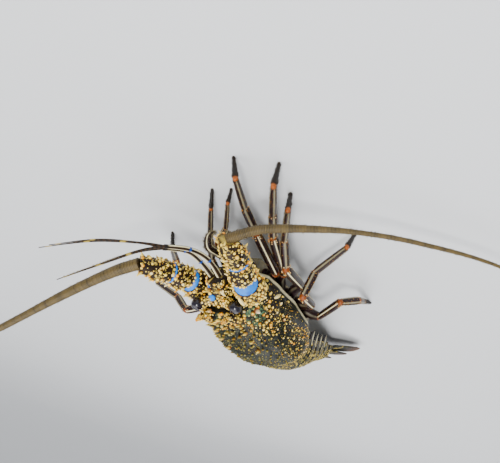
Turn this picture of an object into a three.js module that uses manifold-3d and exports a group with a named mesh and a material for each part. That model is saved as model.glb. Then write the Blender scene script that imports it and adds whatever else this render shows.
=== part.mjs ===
// A spiny lobster, life-size, standing on the floor with its two long feelers spread.
// Millimetres. X points forward, Y to the animal's left, Z up, and the floor is at Z = 0.
// While the parts are laid out, the front edge of the carapace is above X = 0, Y = 0. The last
// step moves the origin to the middle of the whole extent.

import * as THREE from 'three';
import { mergeVertices } from 'three/addons/utils/BufferGeometryUtils.js';
import Module from 'manifold-3d';

const wasm = await Module();
wasm.setup();

// Driving sizes
const CARAPACE_LENGTH = 90;
const BACK_HEIGHT = 68;
const GAP = 0.3;

const RIGHT = -1;
const LEFT = 1;
const SIDES = [['r', RIGHT], ['l', LEFT]];

// Colours of the animal, as roughness and colour pairs
const FINISH = {
  shell: [0x1f2418, 0.45],
  antenna: [0x2a2016, 0.45],
  whip: [0x5b4a2a, 0.6],
  leg: [0x2c1518, 0.4],
  eye: [0x1c1620, 0.15],
  under: [0x6b6148, 0.6],
};

function vec(x, y, z) {
  return new THREE.Vector3(x, y, z);
}

// A repeatable random draw between 0 and 1, so that every run gives the same spines
function seededDraw(seed) {
  let state = seed;
  return () => {
    state = (state * 1664525 + 1013904223) % 4294967296;
    return state / 4294967296;
  };
}

// Smooth interpolation in a list of [place, value] pairs that rises in place
function along(table, place) {
  if (place <= table[0][0]) return table[0][1];
  for (let i = 1; i < table.length; i += 1) {
    const [p1, v1] = table[i];
    const [p0, v0] = table[i - 1];
    if (place <= p1) {
      const t = (place - p0) / (p1 - p0);
      const eased = t * t * (3 - 2 * t);
      return v0 + (v1 - v0) * eased;
    }
  }
  return table[table.length - 1][1];
}

// A closed solid through rings of points, with a fan at each end
function loft(rings) {
  const n = rings[0].length;
  const points = [];
  rings.forEach((ring) => ring.forEach((p) => points.push(p)));
  const triangles = [];
  for (let r = 0; r + 1 < rings.length; r += 1) {
    for (let i = 0; i < n; i += 1) {
      const a = r * n + i;
      const b = r * n + ((i + 1) % n);
      triangles.push([a, b, b + n], [a, b + n, a + n]);
    }
  }
  [0, rings.length - 1].forEach((r) => {
    const middle = rings[r].reduce((sum, p) => sum.add(p), vec(0, 0, 0)).divideScalar(n);
    const m = points.push(middle) - 1;
    for (let i = 0; i < n; i += 1) {
      const a = r * n + i;
      const b = r * n + ((i + 1) % n);
      triangles.push(r === 0 ? [m, b, a] : [m, a, b]);
    }
  });
  return closedGeometry(points, triangles);
}

function closedGeometry(points, triangles) {
  let volume = 0;
  triangles.forEach(([a, b, c]) => {
    volume += points[a].dot(points[b].clone().cross(points[c])) / 6;
  });
  const faces = volume < 0 ? triangles.map(([a, b, c]) => [a, c, b]) : triangles;
  const geometry = new THREE.BufferGeometry();
  const flat = points.flatMap((p) => [p.x, p.y, p.z]);
  geometry.setAttribute('position', new THREE.Float32BufferAttribute(flat, 3));
  geometry.setIndex(faces.flat());
  return geometry;
}

// One ring round a centre. side and up are unit vectors, a and b the half widths along them.
// power 2 is an ellipse and a larger power a squarer section.
function ring(centre, side, up, a, b, count, power = 2) {
  const points = [];
  for (let i = 0; i < count; i += 1) {
    const t = (2 * Math.PI * (i + 0.5)) / count;
    const c = Math.cos(t);
    const s = Math.sin(t);
    const x = Math.sign(c) * Math.abs(c) ** (2 / power);
    const y = Math.sign(s) * Math.abs(s) ** (2 / power);
    points.push(centre.clone().addScaledVector(side, a * x).addScaledVector(up, b * y));
  }
  return points;
}

// A closed sweep through stations { at, a, b, normal }. A station with no normal takes the
// mean direction of its neighbours.
function sweep(stations, count, upHint = vec(0, 0, 1), power = 2) {
  const rings = stations.map((station, i) => {
    const before = stations[Math.max(0, i - 1)].at;
    const after = stations[Math.min(stations.length - 1, i + 1)].at;
    const normal = station.normal
      ? station.normal.clone().normalize()
      : after.clone().sub(before).normalize();
    const hint = station.up || upHint;
    const side = normal.clone().cross(hint).normalize();
    const up = side.clone().cross(normal).normalize();
    return ring(station.at, side, up, station.a, station.b, count, power);
  });
  return loft(rings);
}

// A cone whose root is sunk into the surface that it grows from
function spine(at, direction, length, radius, sides = 5) {
  const axis = direction.clone().normalize();
  const sink = radius * 1.1;
  const hint = Math.abs(axis.z) < 0.9 ? vec(0, 0, 1) : vec(1, 0, 0);
  const side = axis.clone().cross(hint).normalize();
  const up = side.clone().cross(axis);
  const root = at.clone().addScaledVector(axis, -sink);
  const points = ring(root, side, up, radius, radius, sides);
  const tip = points.push(at.clone().addScaledVector(axis, length)) - 1;
  const triangles = [];
  for (let i = 0; i < sides; i += 1) triangles.push([i, (i + 1) % sides, tip]);
  for (let i = 1; i + 1 < sides; i += 1) triangles.push([0, i + 1, i]);
  return closedGeometry(points, triangles);
}

function toManifold(geometry) {
  const bare = geometry.clone();
  bare.deleteAttribute('normal');
  bare.deleteAttribute('uv');
  const merged = mergeVertices(bare, 1e-5);
  return new wasm.Manifold(new wasm.Mesh({
    numProp: 3,
    vertProperties: new Float32Array(merged.attributes.position.array),
    triVerts: new Uint32Array(merged.index.array),
  }));
}

function toGeometry(manifold) {
  const mesh = manifold.getMesh();
  const geometry = new THREE.BufferGeometry();
  geometry.setAttribute('position', new THREE.BufferAttribute(new Float32Array(mesh.vertProperties), 3));
  geometry.setIndex(new THREE.BufferAttribute(new Uint32Array(mesh.triVerts), 1));
  return geometry;
}

function largest(manifold) {
  const bodies = manifold.decompose();
  bodies.sort((p, q) => q.volume() - p.volume());
  return bodies[0];
}

// Joins geometries into one closed body, then cuts the cutters away
function fuse(geometries, cutters = []) {
  let body = toManifold(geometries[0]);
  geometries.slice(1).forEach((extra) => {
    body = body.add(toManifold(extra));
  });
  cutters.forEach((cutter) => {
    body = body.subtract(toManifold(cutter));
  });
  return toGeometry(largest(body));
}

const lobster = new THREE.Group();

function addNode(name, geometry, finish) {
  const [color, roughness] = FINISH[finish];
  const shaded = geometry.clone();
  shaded.computeVertexNormals();
  const material = new THREE.MeshStandardMaterial({ color, roughness, metalness: 0 });
  const mesh = new THREE.Mesh(shaded, material);
  mesh.name = name;
  lobster.add(mesh);
}

// Carapace

const SHELL_WIDTH = [[-90, 31], [-76, 35], [-50, 33], [-26, 29], [-10, 25.5], [0, 21]];
const SHELL_TOP = [[-90, 71], [-76, 75], [-52, 77], [-30, 75], [-12, 71.5], [0, BACK_HEIGHT]];
const SHELL_BOTTOM = [[-90, 40], [-76, 35], [-45, 32.5], [-12, 32.5], [0, 35]];
const SHELL_BULGE = 0.38;
const SHELL_FRONT = -0.2;
const HORN_ROOT = vec(-6, 11, 68);
const HORN_TIP = vec(9.5, 9.5, 79);
const EYE_CENTRE = vec(7, 14.5, 66.2);
const EYE_RADIUS = 4.2;

// A point of the shell at x. turn runs from 0 at the right edge over the back to 1 at the left.
function shellPoint(x, turn) {
  const width = along(SHELL_WIDTH, x);
  const top = along(SHELL_TOP, x);
  const bottom = along(SHELL_BOTTOM, x);
  const middle = bottom + SHELL_BULGE * (top - bottom);
  const under = 0.42;
  const angle = -under + turn * (Math.PI + 2 * under);
  const c = -Math.cos(angle);
  const s = Math.sin(angle);
  const z = s >= 0
    ? middle + (top - middle) * s ** 0.92
    : middle + ((middle - bottom) * s) / Math.sin(under);
  return vec(x, width * c, z);
}

function shellNormal(x, turn) {
  const step = 0.01;
  const alongX = shellPoint(x + 1, turn).sub(shellPoint(x - 1, turn));
  const across = shellPoint(x, turn + step).sub(shellPoint(x, turn - step));
  return alongX.cross(across).normalize();
}

function shellSpines() {
  const draw = seededDraw(7);
  const spines = [];
  for (let row = 0; row < 12; row += 1) {
    const x = -6 - row * 7;
    const count = 11;
    for (let i = 0; i < count; i += 1) {
      const turn = (i + 0.5 + 0.5 * (row % 2) + 0.4 * (draw() - 0.5)) / (count + 0.5);
      const place = x + 2 * (draw() - 0.5);
      const size = along([[-90, 1.5], [-40, 2.0], [-12, 3.6], [0, 4.2]], place) * (0.8 + 0.5 * draw());
      const lean = shellNormal(place, turn).addScaledVector(vec(1, 0, 0), 0.75);
      spines.push(spine(shellPoint(place, turn), lean, size, 0.42 * size + 0.35, 4));
    }
  }
  return spines;
}

function horn(side) {
  const root = HORN_ROOT.clone().setY(HORN_ROOT.y * side);
  const tip = HORN_TIP.clone().setY(HORN_TIP.y * side);
  const bend = root.clone().lerp(tip, 0.5).add(vec(1.2, 0, -1.0));
  return sweep([
    { at: root.clone().add(vec(-5, 0, -3)), a: 4.2, b: 4.2 },
    { at: root, a: 3.8, b: 3.9 },
    { at: bend, a: 2.4, b: 2.6 },
    { at: tip.clone().lerp(bend, 0.3), a: 1.2, b: 1.3 },
    { at: tip, a: 0.35, b: 0.35 },
  ], 8);
}

function hornSpines() {
  const spines = [];
  SIDES.forEach(([, side]) => {
    [[-13, 9.5, 3.6], [-22, 11, 3.0], [-33, 12, 2.6], [-46, 12, 2.3]].forEach(([x, y, size]) => {
      const top = along(SHELL_TOP, x);
      spines.push(spine(vec(x, y * side, top - 2.2), vec(0.8, 0.15 * side, 0.9), size + 1.5, 1.9));
    });
    spines.push(spine(vec(-7, 23 * side, 61), vec(0.45, 0.8 * side, 0.5), 5, 2.0));
    spines.push(spine(vec(-7, 24.5 * side, 51), vec(0.4, 0.9 * side, 0.1), 4.2, 1.8));
  });
  return spines;
}

function addCarapace() {
  const places = [SHELL_FRONT, -4, -9, -15, -22, -30, -38, -46, -54, -62, -70, -78, -85, -CARAPACE_LENGTH];
  const count = 22;
  const rings = places.map((x) => {
    const points = [];
    for (let i = 0; i <= count; i += 1) points.push(shellPoint(x, i / count));
    return points;
  });
  const parts = [loft(rings), horn(LEFT), horn(RIGHT)];
  parts.push(...hornSpines(), ...shellSpines());
  addNode('carapace', fuse(parts, eyeSockets()), 'shell');
}

function eyeSockets() {
  return SIDES.map(([, side]) => {
    const socket = new THREE.SphereGeometry(EYE_RADIUS + GAP + 0.15, 12, 8);
    socket.translate(EYE_CENTRE.x, EYE_CENTRE.y * side, EYE_CENTRE.z);
    return socket;
  });
}

// Breast plate below the shell, which carries the legs

const COXA_HEIGHT = 25.5;
const FIRST_COXA = vec(-24, 13, COXA_HEIGHT);
const COXA_STEP = 14;
const WALL_SLOPE = 0.214;

function wallY(x) {
  return FIRST_COXA.y + (FIRST_COXA.x - x) * WALL_SLOPE;
}

function addBreastPlate() {
  const rings = [-12, -20, -40, -60, -78, -90].map((x) => {
    const y = wallY(x) - GAP;
    const top = along(SHELL_BOTTOM, x) - GAP - 0.2;
    const bottom = 13 + Math.max(0, x + 20) * 0.6;
    const under = y * 0.62;
    return [
      vec(x, -y, top), vec(x, -y, 17.5), vec(x, -under, bottom), vec(x, 0, bottom - 0.5),
      vec(x, under, bottom), vec(x, y, 17.5), vec(x, y, top),
    ];
  });
  addNode('breast_plate', loft(rings), 'under');
}

// Head between the feelers: antennular plate above, mouth plate below

function addHead() {
  const width = [[0, 8.2], [12, 7.6], [20, 5.2]];
  const rings = [0.1, 4, 9, 14, 19].map((x) => {
    const y = along(width, x);
    const top = along([[0, 65], [6, 63], [14, 60], [19, 56]], x);
    const bottom = along([[0, 36], [10, 38], [19, 45]], x);
    return ring(vec(x, 0, (top + bottom) / 2), vec(0, 1, 0), vec(0, 0, 1), y, (top - bottom) / 2, 12, 3.2);
  });
  const parts = [loft(rings)];
  SIDES.forEach(([, side]) => {
    const eye = EYE_CENTRE.clone().setY(EYE_CENTRE.y * side);
    parts.push(sweep([
      { at: vec(4.5, 2 * side, 60.5), a: 3.2, b: 2.8 },
      { at: vec(6.2, 7.5 * side, 63.2), a: 3.0, b: 2.8 },
      { at: eye, a: 3.2, b: 3.2 },
    ], 8));
    parts.push(spine(vec(15, 3.4 * side, 59), vec(0.8, 0.1 * side, 0.9), 6.5, 1.5));
    parts.push(spine(vec(9, 3.6 * side, 61.5), vec(0.7, 0.15 * side, 1), 4.5, 1.3));
  });
  addNode('head', fuse(parts, eyeSockets()), 'shell');
}

function addEyes() {
  SIDES.forEach(([tag, side]) => {
    const eye = new THREE.SphereGeometry(EYE_RADIUS, 16, 10);
    eye.deleteAttribute('uv');
    eye.deleteAttribute('normal');
    const ball = mergeVertices(eye, 1e-4);
    ball.translate(EYE_CENTRE.x, EYE_CENTRE.y * side, EYE_CENTRE.z);
    addNode(`eye_${tag}`, toGeometry(toManifold(ball)), 'eye');
  });
}

// Antennae. Each has three thick spiny lengths and a long whip.

const ANTENNA = {
  r: {
    joints: [vec(0.4, -20, 51), vec(21.5, -25, 56), vec(41, -27.5, 53), vec(60.5, -27.5, 49.5)],
    whip: [vec(60.5, -27.5, 49.5), vec(58, -45, 41), vec(49, -66, 34), vec(36, -92, 27),
      vec(18, -124, 22), vec(-10, -165, 19), vec(-60, -215, 20), vec(-130, -262, 28)],
    bend: vec(0.1, -0.9, -0.42),
  },
  l: {
    joints: [vec(0.4, 20, 51), vec(18.5, 21, 54), vec(35, 27.5, 58), vec(51, 35, 62.5)],
    whip: [vec(51, 35, 62.5), vec(52, 52, 70), vec(48, 84, 84), vec(38, 132, 104),
      vec(22, 190, 124), vec(-4, 250, 140), vec(-50, 318, 150), vec(-110, 372, 150)],
    bend: vec(0.35, 0.88, 0.36),
  },
};
const SEGMENT_RADIUS = [[10.4, 8.8], [8.5, 7.8], [7.6, 5.4]];

function segmentSpines(from, to, startRadius, endRadius, seed, count, clearOf) {
  const draw = seededDraw(seed);
  const axis = to.clone().sub(from);
  const length = axis.length();
  axis.normalize();
  const side = axis.clone().cross(vec(0, 0, 1)).normalize();
  const up = side.clone().cross(axis);
  const spines = [];
  for (let i = 0; i < count; i += 1) {
    const t = 0.2 + 0.68 * ((i + 0.5) / count);
    const angle = i * 2.399 + 0.5 * draw();
    const radius = startRadius + (endRadius - startRadius) * t;
    const out = side.clone().multiplyScalar(Math.cos(angle)).addScaledVector(up, Math.sin(angle));
    const at = from.clone().addScaledVector(axis, length * t).addScaledVector(out, radius * 0.9);
    const size = 3.0 + 2.0 * draw();
    if (clearOf.some(([centre, reach]) => centre.distanceTo(at) < reach + size)) continue;
    spines.push(spine(at, out.clone().addScaledVector(axis, 0.7), size, 0.3 * size + 0.5, 4));
  }
  return spines;
}

function addAntenna(tag) {
  const { joints, bend } = ANTENNA[tag];
  const seeds = { r: 20, l: 40 };
  for (let i = 0; i < 3; i += 1) {
    const from = joints[i];
    const to = joints[i + 1];
    const axis = to.clone().sub(from).normalize();
    const next = i < 2 ? joints[i + 2].clone().sub(to).normalize() : bend.clone().normalize();
    const last = i > 0 ? from.clone().sub(joints[i - 1]).normalize() : vec(1, 0, 0);
    const startNormal = i > 0 ? axis.clone().add(last).normalize() : vec(1, 0, 0);
    const endNormal = axis.clone().add(next).normalize();
    const [r0, r1] = SEGMENT_RADIUS[i];
    const span = to.clone().sub(from).length();
    const body = sweep([
      { at: from.clone().addScaledVector(startNormal, GAP / 2), a: r0 * 0.86, b: r0 * 0.86, normal: startNormal },
      { at: from.clone().addScaledVector(axis, span * 0.28), a: r0, b: r0, normal: axis },
      { at: from.clone().addScaledVector(axis, span * 0.62), a: (r0 + r1) / 2, b: (r0 + r1) / 2, normal: axis },
      { at: to.clone().addScaledVector(endNormal, -GAP / 2), a: r1 * 0.92, b: r1 * 0.92, normal: endNormal },
    ], 14);
    const counts = [13, 13, 16];
    const eye = EYE_CENTRE.clone().setY(EYE_CENTRE.y * Math.sign(from.y));
    const clearOf = [[eye, EYE_RADIUS + 2], [vec(10, 0, 52), 10.5]];
    const spines = segmentSpines(from, to, r0, r1, seeds[tag] + i, counts[i], clearOf);
    addNode(`antenna_${tag}_${i + 1}`, fuse([body, ...spines]), 'antenna');
  }
}

// The whip is parted into three lengths that meet end to end
const WHIP_STEPS = 20;
const WHIP_PARTS = [0, 0.26, 0.58, 1];
const WHIP_RADIUS = {
  r: [[0, 3.1], [0.1, 2.4], [0.25, 1.5], [0.6, 0.8], [1, 0.3]],
  l: [[0, 3.9], [0.1, 3.2], [0.25, 2.5], [0.6, 1.3], [1, 0.35]],
};

function addWhip(tag) {
  const { whip, bend } = ANTENNA[tag];
  const curve = new THREE.CatmullRomCurve3(whip, false, 'centripetal');
  const total = curve.getLength();
  for (let part = 0; part < 3; part += 1) {
    const stations = [];
    for (let i = 0; i <= WHIP_STEPS; i += 1) {
      const start = WHIP_PARTS[part] + (part === 0 ? (GAP / 2 + 0.1) / total : GAP / 2 / total);
      const end = WHIP_PARTS[part + 1] - (part === 2 ? 0 : GAP / 2 / total);
      const u = start + ((end - start) * i) / WHIP_STEPS;
      const radius = along(WHIP_RADIUS[tag], u);
      stations.push({ at: curve.getPointAt(u), a: radius, b: radius, normal: curve.getTangentAt(u) });
    }
    if (part === 0) {
      const [second, third] = ANTENNA[tag].joints.slice(2);
      const axis = third.clone().sub(second).normalize();
      stations[0].normal = axis.add(bend.clone().normalize()).normalize();
      stations[0].at = third.clone().addScaledVector(stations[0].normal, GAP / 2);
      stations[0].up = vec(0, 0, 1);
    }
    addNode(`whip_${tag}_${part + 1}`, sweep(stations, 8), 'whip');
  }
}

// Antennules: a slim stalk each, ending in two fine whips

const ANTENNULE = {
  l: {
    stalk: [vec(19.6, 3.0, 50.5), vec(34, 5, 48.5), vec(45, 9, 48.5), vec(57, 16.5, 54.5)],
    outer: [vec(57, 16.5, 54.5), vec(66, 25, 63), vec(76, 37, 78), vec(86, 48, 93)],
    inner: [vec(57, 16.5, 54.5), vec(66, 24, 57), vec(83, 41, 66), vec(98, 57, 80)],
  },
  r: {
    stalk: [vec(19.6, -3.0, 50.5), vec(37, -3, 49), vec(51, 1.5, 51), vec(65, 9, 58)],
    outer: [vec(65, 9, 58), vec(75, 17, 68), vec(86, 28, 84), vec(97, 38, 100)],
    inner: [vec(65, 9, 58), vec(76, 18, 63), vec(92, 33, 73), vec(108, 49, 88)],
  },
};

function curveSweep(points, radii, steps, sides) {
  const curve = new THREE.CatmullRomCurve3(points, false, 'centripetal');
  const stations = [];
  for (let i = 0; i <= steps; i += 1) {
    const u = i / steps;
    const radius = along(radii, u);
    stations.push({ at: curve.getPointAt(u), a: radius, b: radius, normal: curve.getTangentAt(u) });
  }
  return stations;
}

function addAntennule(tag) {
  const { stalk, outer, inner } = ANTENNULE[tag];
  const stalkStations = curveSweep(stalk, [[0, 2.0], [0.33, 1.6], [0.66, 1.5], [1, 1.3]], 8);
  stalkStations[0].normal = vec(1, 0, 0);
  const whipRadii = [[0, 0.85], [0.4, 0.6], [1, 0.25]];
  addNode(`antennule_${tag}`, fuse([
    sweep(stalkStations, 8),
    sweep(curveSweep(outer, whipRadii, 10), 6),
    sweep(curveSweep(inner, whipRadii, 10), 6),
  ]), 'antenna');
}

// Third maxillipeds: leg-like mouth limbs below the feelers

function addMaxillipeds() {
  SIDES.forEach(([tag, side]) => {
    const stations = [
      { at: vec(-10.5, 5.5 * side, 24), a: 2.6, b: 4.0 },
      { at: vec(2, 6.2 * side, 27), a: 2.7, b: 4.6 },
      { at: vec(16, 7 * side, 31), a: 2.5, b: 3.8 },
      { at: vec(27, 7.5 * side, 33.5), a: 2.2, b: 3.0 },
      { at: vec(31.5, 7 * side, 29), a: 2.0, b: 2.4 },
      { at: vec(30.5, 6 * side, 25), a: 1.2, b: 1.5 },
      { at: vec(27.5, 5 * side, 22.5), a: 0.5, b: 0.6 },
    ];
    addNode(`maxilliped_${tag}`, sweep(stations, 8, vec(0, 1, 0.2)), 'leg');
  });
}

// Legs. Each leg is a chain of five lengths, posed by a heading and a rise in degrees for each.
// The last length is set by its heading and reaches the floor on a small flat.

const LENGTHS = [17, 40, 20, 36, 17];
const LEGS = [
  { name: 'leg_r1', pair: 0, side: RIGHT, scale: 0.95, pose: [[-49, 8], [3, -11], [18, -30], [-16, 7], [60]] },
  { name: 'leg_r2', pair: 1, side: RIGHT, scale: 1.0, pose: [[-36, -12], [-7, -7], [-16, -14], [-23, 8], [25]] },
  { name: 'leg_r3', pair: 2, side: RIGHT, scale: 1.0, pose: [[-61, -16], [-4, 12], [-2, -42], [-23, 1], [136]] },
  { name: 'leg_r4', pair: 3, side: RIGHT, scale: 0.97, pose: [[-76, 7], [-10, 17], [-58, -66], [-49, -10], [-166]] },
  { name: 'leg_r5', pair: 4, side: RIGHT, scale: 0.85, pose: [[-90, 12], [-42, -3], [-137, -28], [174, -25], [-172]] },
  { name: 'leg_l1', pair: 0, side: LEFT, scale: 0.7, pose: [[18, -4], [-12, -4], [-46, -33], [-26, -7], [48]] },
  { name: 'leg_l2', pair: 1, side: LEFT, scale: 0.85, pose: [[83, -2], [-14, 4], [1, -46], [-24, -12], [-18]] },
  { name: 'leg_l3', pair: 2, side: LEFT, scale: 1.0, pose: [[69, 8], [43, 18], [-28, -32], [124, -38], [-21]] },
  { name: 'leg_l4', pair: 3, side: LEFT, scale: 0.97, pose: [[95, 6], [84, 22], [92, -40], [96, -24], [110]] },
  { name: 'leg_l5', pair: 4, side: LEFT, scale: 0.85, pose: [[96, 4], [130, 20], [140, -32], [148, -24], [155]] },
];

function heading(turn, rise) {
  const t = THREE.MathUtils.degToRad(turn);
  const r = THREE.MathUtils.degToRad(rise);
  return vec(Math.cos(r) * Math.cos(t), Math.cos(r) * Math.sin(t), Math.sin(r));
}

function legJoints(leg) {
  const x = FIRST_COXA.x - COXA_STEP * leg.pair;
  const joints = [vec(x, wallY(x) * leg.side, COXA_HEIGHT)];
  leg.pose.slice(0, 4).forEach(([turn, rise], i) => {
    joints.push(joints[i].clone().addScaledVector(heading(turn, rise), LENGTHS[i] * leg.scale));
  });
  const ankle = joints[4];
  const length = LENGTHS[4] * leg.scale;
  const reach = Math.sqrt(Math.max(length ** 2 - ankle.z ** 2, 1));
  const toe = ankle.clone().addScaledVector(heading(leg.pose[4][0], 0), reach).setZ(0);
  joints.push(toe);
  return joints;
}

function between(a, b, t) {
  return a.clone().lerp(b, t);
}

function addLeg(leg) {
  const [coxa, hip, knee, wrist, ankle, toe] = legJoints(leg);
  const k = leg.scale;
  const wall = vec(WALL_SLOPE, leg.side, 0).normalize();
  const upperAxis = knee.clone().sub(hip).normalize();
  const lowerAxis = wrist.clone().sub(knee).normalize();
  const kneeNormal = upperAxis.clone().add(lowerAxis).normalize();
  const root = { at: coxa.clone(), a: 5.8, b: 6, normal: wall };
  const upper = sweep([
    root,
    { at: coxa.clone().addScaledVector(wall, 4.5), a: 5.4, b: 5.4, normal: wall },
    { at: between(coxa, hip, 0.62), a: 3.9, b: 4.2 },
    { at: hip, a: 3.5 * k, b: 3.9 * k },
    { at: between(hip, knee, 0.2), a: 3.1 * k, b: 3.7 * k, normal: upperAxis },
    { at: between(hip, knee, 0.5), a: 3.3 * k, b: 4.1 * k, normal: upperAxis },
    { at: between(hip, knee, 0.86), a: 3.4 * k, b: 4.1 * k, normal: upperAxis },
    { at: knee.clone().addScaledVector(kneeNormal, -GAP / 2), a: 2.7 * k, b: 3.2 * k, normal: kneeNormal },
  ], 8);
  const lower = sweep([
    { at: knee.clone().addScaledVector(kneeNormal, GAP / 2), a: 2.5 * k, b: 3.0 * k, normal: kneeNormal },
    { at: between(knee, wrist, 0.35), a: 2.8 * k, b: 3.4 * k, normal: lowerAxis },
    { at: between(knee, wrist, 0.85), a: 2.9 * k, b: 3.5 * k },
    { at: between(wrist, ankle, 0.12), a: 2.5 * k, b: 3.1 * k },
    { at: between(wrist, ankle, 0.5), a: 2.3 * k, b: 2.9 * k },
    { at: between(wrist, ankle, 0.9), a: 1.9 * k, b: 2.3 * k },
    { at: between(ankle, toe, 0.2), a: 1.6 * k, b: 1.9 * k },
    { at: between(ankle, toe, 0.75), a: 1.1 * k, b: 1.2 * k },
    { at: toe, a: 0.9, b: 0.9, normal: vec(0, 0, -1), up: vec(1, 0, 0) },
  ], 8);
  const out = vec(0, 0, 1);
  const nearKnee = between(hip, knee, 0.9).addScaledVector(out, 3.4 * k);
  const kneeSpine = spine(nearKnee, out.clone().addScaledVector(upperAxis, 0.9), 2.6, 1.1, 4);
  const nearWrist = between(knee, wrist, 0.85).addScaledVector(out, 2.9 * k);
  const wristSpine = spine(nearWrist, out.clone().addScaledVector(lowerAxis, 0.9), 1.9, 0.9, 4);
  addNode(`${leg.name}_upper`, fuse([upper, kneeSpine]), 'leg');
  addNode(`${leg.name}_lower`, fuse([lower, wristSpine]), 'leg');
}

// Tail: six rings that overlap like roof tiles, then the fan

const RING_COUNT = 6;
const RING_LENGTHS = [15, 19, 18, 17, 17, 18];
const RING_TILT = [8, 18, 27, 31, 29, 22];
const RING_WIDTH = [29, 29, 27.5, 26, 24.5, 23];
const RING_HEIGHT = [27, 27, 25, 22.5, 20, 17];
const RING_START = vec(-CARAPACE_LENGTH - GAP, 0, 69);

// Half of an ellipse over the back, closed below by a shallow belly
function tailRing(top, normal, width, height) {
  const up = vec(normal.z, 0, -normal.x);
  const points = [];
  const count = 14;
  for (let i = 0; i <= count; i += 1) {
    const angle = (Math.PI * i) / count;
    const y = -width * Math.cos(angle);
    const drop = height * (1 - Math.sin(angle) ** 0.85);
    points.push(top.clone().add(vec(0, y, 0)).addScaledVector(up, -drop));
  }
  points.push(top.clone().add(vec(0, width * 0.6, 0)).addScaledVector(up, -height * 1.12));
  points.push(top.clone().add(vec(0, -width * 0.6, 0)).addScaledVector(up, -height * 1.12));
  return points;
}

function tailPath() {
  const tops = [RING_START.clone()];
  RING_LENGTHS.forEach((length, i) => {
    tops.push(tops[i].clone().addScaledVector(heading(180, -RING_TILT[i]), length));
  });
  return tops;
}

function ringNormal(i) {
  const tilt = i === 0 ? 0 : (RING_TILT[i - 1] + (RING_TILT[i] ?? RING_TILT[i - 1])) / 2;
  return heading(180, -tilt);
}

function sideLobe(foot, backward, side, size) {
  const outward = vec(0, side, 0);
  return sweep([
    { at: foot.clone().add(vec(0, 0, 3)), a: 1.4, b: size * 0.4, normal: vec(0, 0, -1), up: backward },
    { at: foot.clone().add(vec(0, 0, -3)), a: 1.3, b: size * 0.36, normal: vec(0, 0, -1), up: backward },
    {
      at: foot.clone().add(vec(0, 0, -size * 0.7)).addScaledVector(backward, size * 0.15).addScaledVector(outward, 0.6),
      a: 0.6,
      b: 0.7,
      normal: vec(0, 0, -1),
      up: backward,
    },
  ], 6);
}

function addTailRings() {
  const tops = tailPath();
  for (let i = 0; i < RING_COUNT; i += 1) {
    const n0 = ringNormal(i);
    const n1 = ringNormal(i + 1);
    const front = tops[i].clone().addScaledVector(n0, GAP / 2);
    const back = tops[i + 1].clone().addScaledVector(n1, -GAP / 2);
    const w = RING_WIDTH[i];
    const h = RING_HEIGHT[i];
    const rise = vec(n1.z, 0, -n1.x).multiplyScalar(1.2);
    const slant = n0.clone().lerp(n1, 0.5).normalize();
    const lift = vec(slant.z, 0, -slant.x);
    const middle = front.clone().lerp(back, 0.45).addScaledVector(rise, 0.9);
    const parts = [loft([
      tailRing(front, n0, w - 1.2, h - 0.8),
      tailRing(middle, slant, w, h),
      tailRing(back.clone().addScaledVector(rise, 0.8), n1, w, h + 0.6),
    ])];
    if (i < RING_COUNT - 1) {
      SIDES.forEach(([, side]) => {
        const foot = middle.clone().addScaledVector(lift, -h).add(vec(0, side * (w - 1.9), 0));
        parts.push(sideLobe(foot, n0, side, RING_LENGTHS[i] * 0.7));
      });
    }
    addNode(`tail_ring_${i + 1}`, fuse(parts), 'shell');
  }
}

// A flat lobe of the fan from its hinge on the last ring to its round end
function fanLobe(hinge, faceNormal, turn, rise, length, halfWidth, thick) {
  const axis = heading(turn, rise);
  const side = axis.clone().cross(vec(0, 0, 1)).normalize();
  const up = side.clone().cross(axis);
  const across = vec(0, 1, 0);
  const faceUp = across.clone().cross(faceNormal);
  const shape = [[0.25, 0.66, 0.9], [0.55, 0.92, 0.7], [0.82, 1, 0.5], [0.95, 0.78, 0.4], [1, 0.5, 0.34]];
  const rings = shape.map(([t, w, h]) => ring(
    hinge.clone().addScaledVector(axis, length * t), side, up, halfWidth * w, (thick * h) / 2, 10, 2.6,
  ));
  rings.unshift(ring(hinge, across, faceUp, halfWidth * 0.42, thick / 2, 10, 2.6));
  return loft(rings);
}

const FAN_TILT = -15;

function addTailFan() {
  const last = tailPath()[RING_COUNT];
  const face = ringNormal(RING_COUNT);
  const up = vec(0, 1, 0).cross(face);
  const hinge = (y, drop) => vec(last.x, y, last.z).addScaledVector(up, -drop).addScaledVector(face, GAP);
  addNode('telson', fanLobe(hinge(0, 6.5), face, 180, FAN_TILT, 36, 14, 4.4), 'shell');
  SIDES.forEach(([tag, side]) => {
    const inner = fanLobe(hinge(9.5 * side, 10.8), face, 180 - 22 * side, FAN_TILT, 36, 11.5, 3.2);
    addNode(`fan_inner_${tag}`, inner, 'shell');
    const outer = fanLobe(hinge(14.5 * side, 14.6), face, 180 - 44 * side, FAN_TILT, 37, 12.5, 3.0);
    addNode(`fan_outer_${tag}`, outer, 'shell');
  });
}

addCarapace();
addBreastPlate();
addHead();
addEyes();
SIDES.forEach(([tag]) => {
  addAntenna(tag);
  addWhip(tag);
  addAntennule(tag);
});
addMaxillipeds();
LEGS.forEach(addLeg);
addTailRings();
addTailFan();

// The origin moves to the middle of the animal's extent, on the floor
const middle = new THREE.Box3().setFromObject(lobster).getCenter(vec(0, 0, 0));
lobster.children.forEach((mesh) => mesh.geometry.translate(-middle.x, -middle.y, 0));

export default lobster;
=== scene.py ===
"""A life-size spiny lobster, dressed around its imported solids, in the pose of the photograph.

Lengths are in millimetres in the layout of the part's source, where the front edge of the
carapace is above X = 0, Y = 0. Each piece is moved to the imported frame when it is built.
"""

import math

import bpy
import numpy as np
from mathutils import Matrix, Vector
from numpy.random import default_rng


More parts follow.
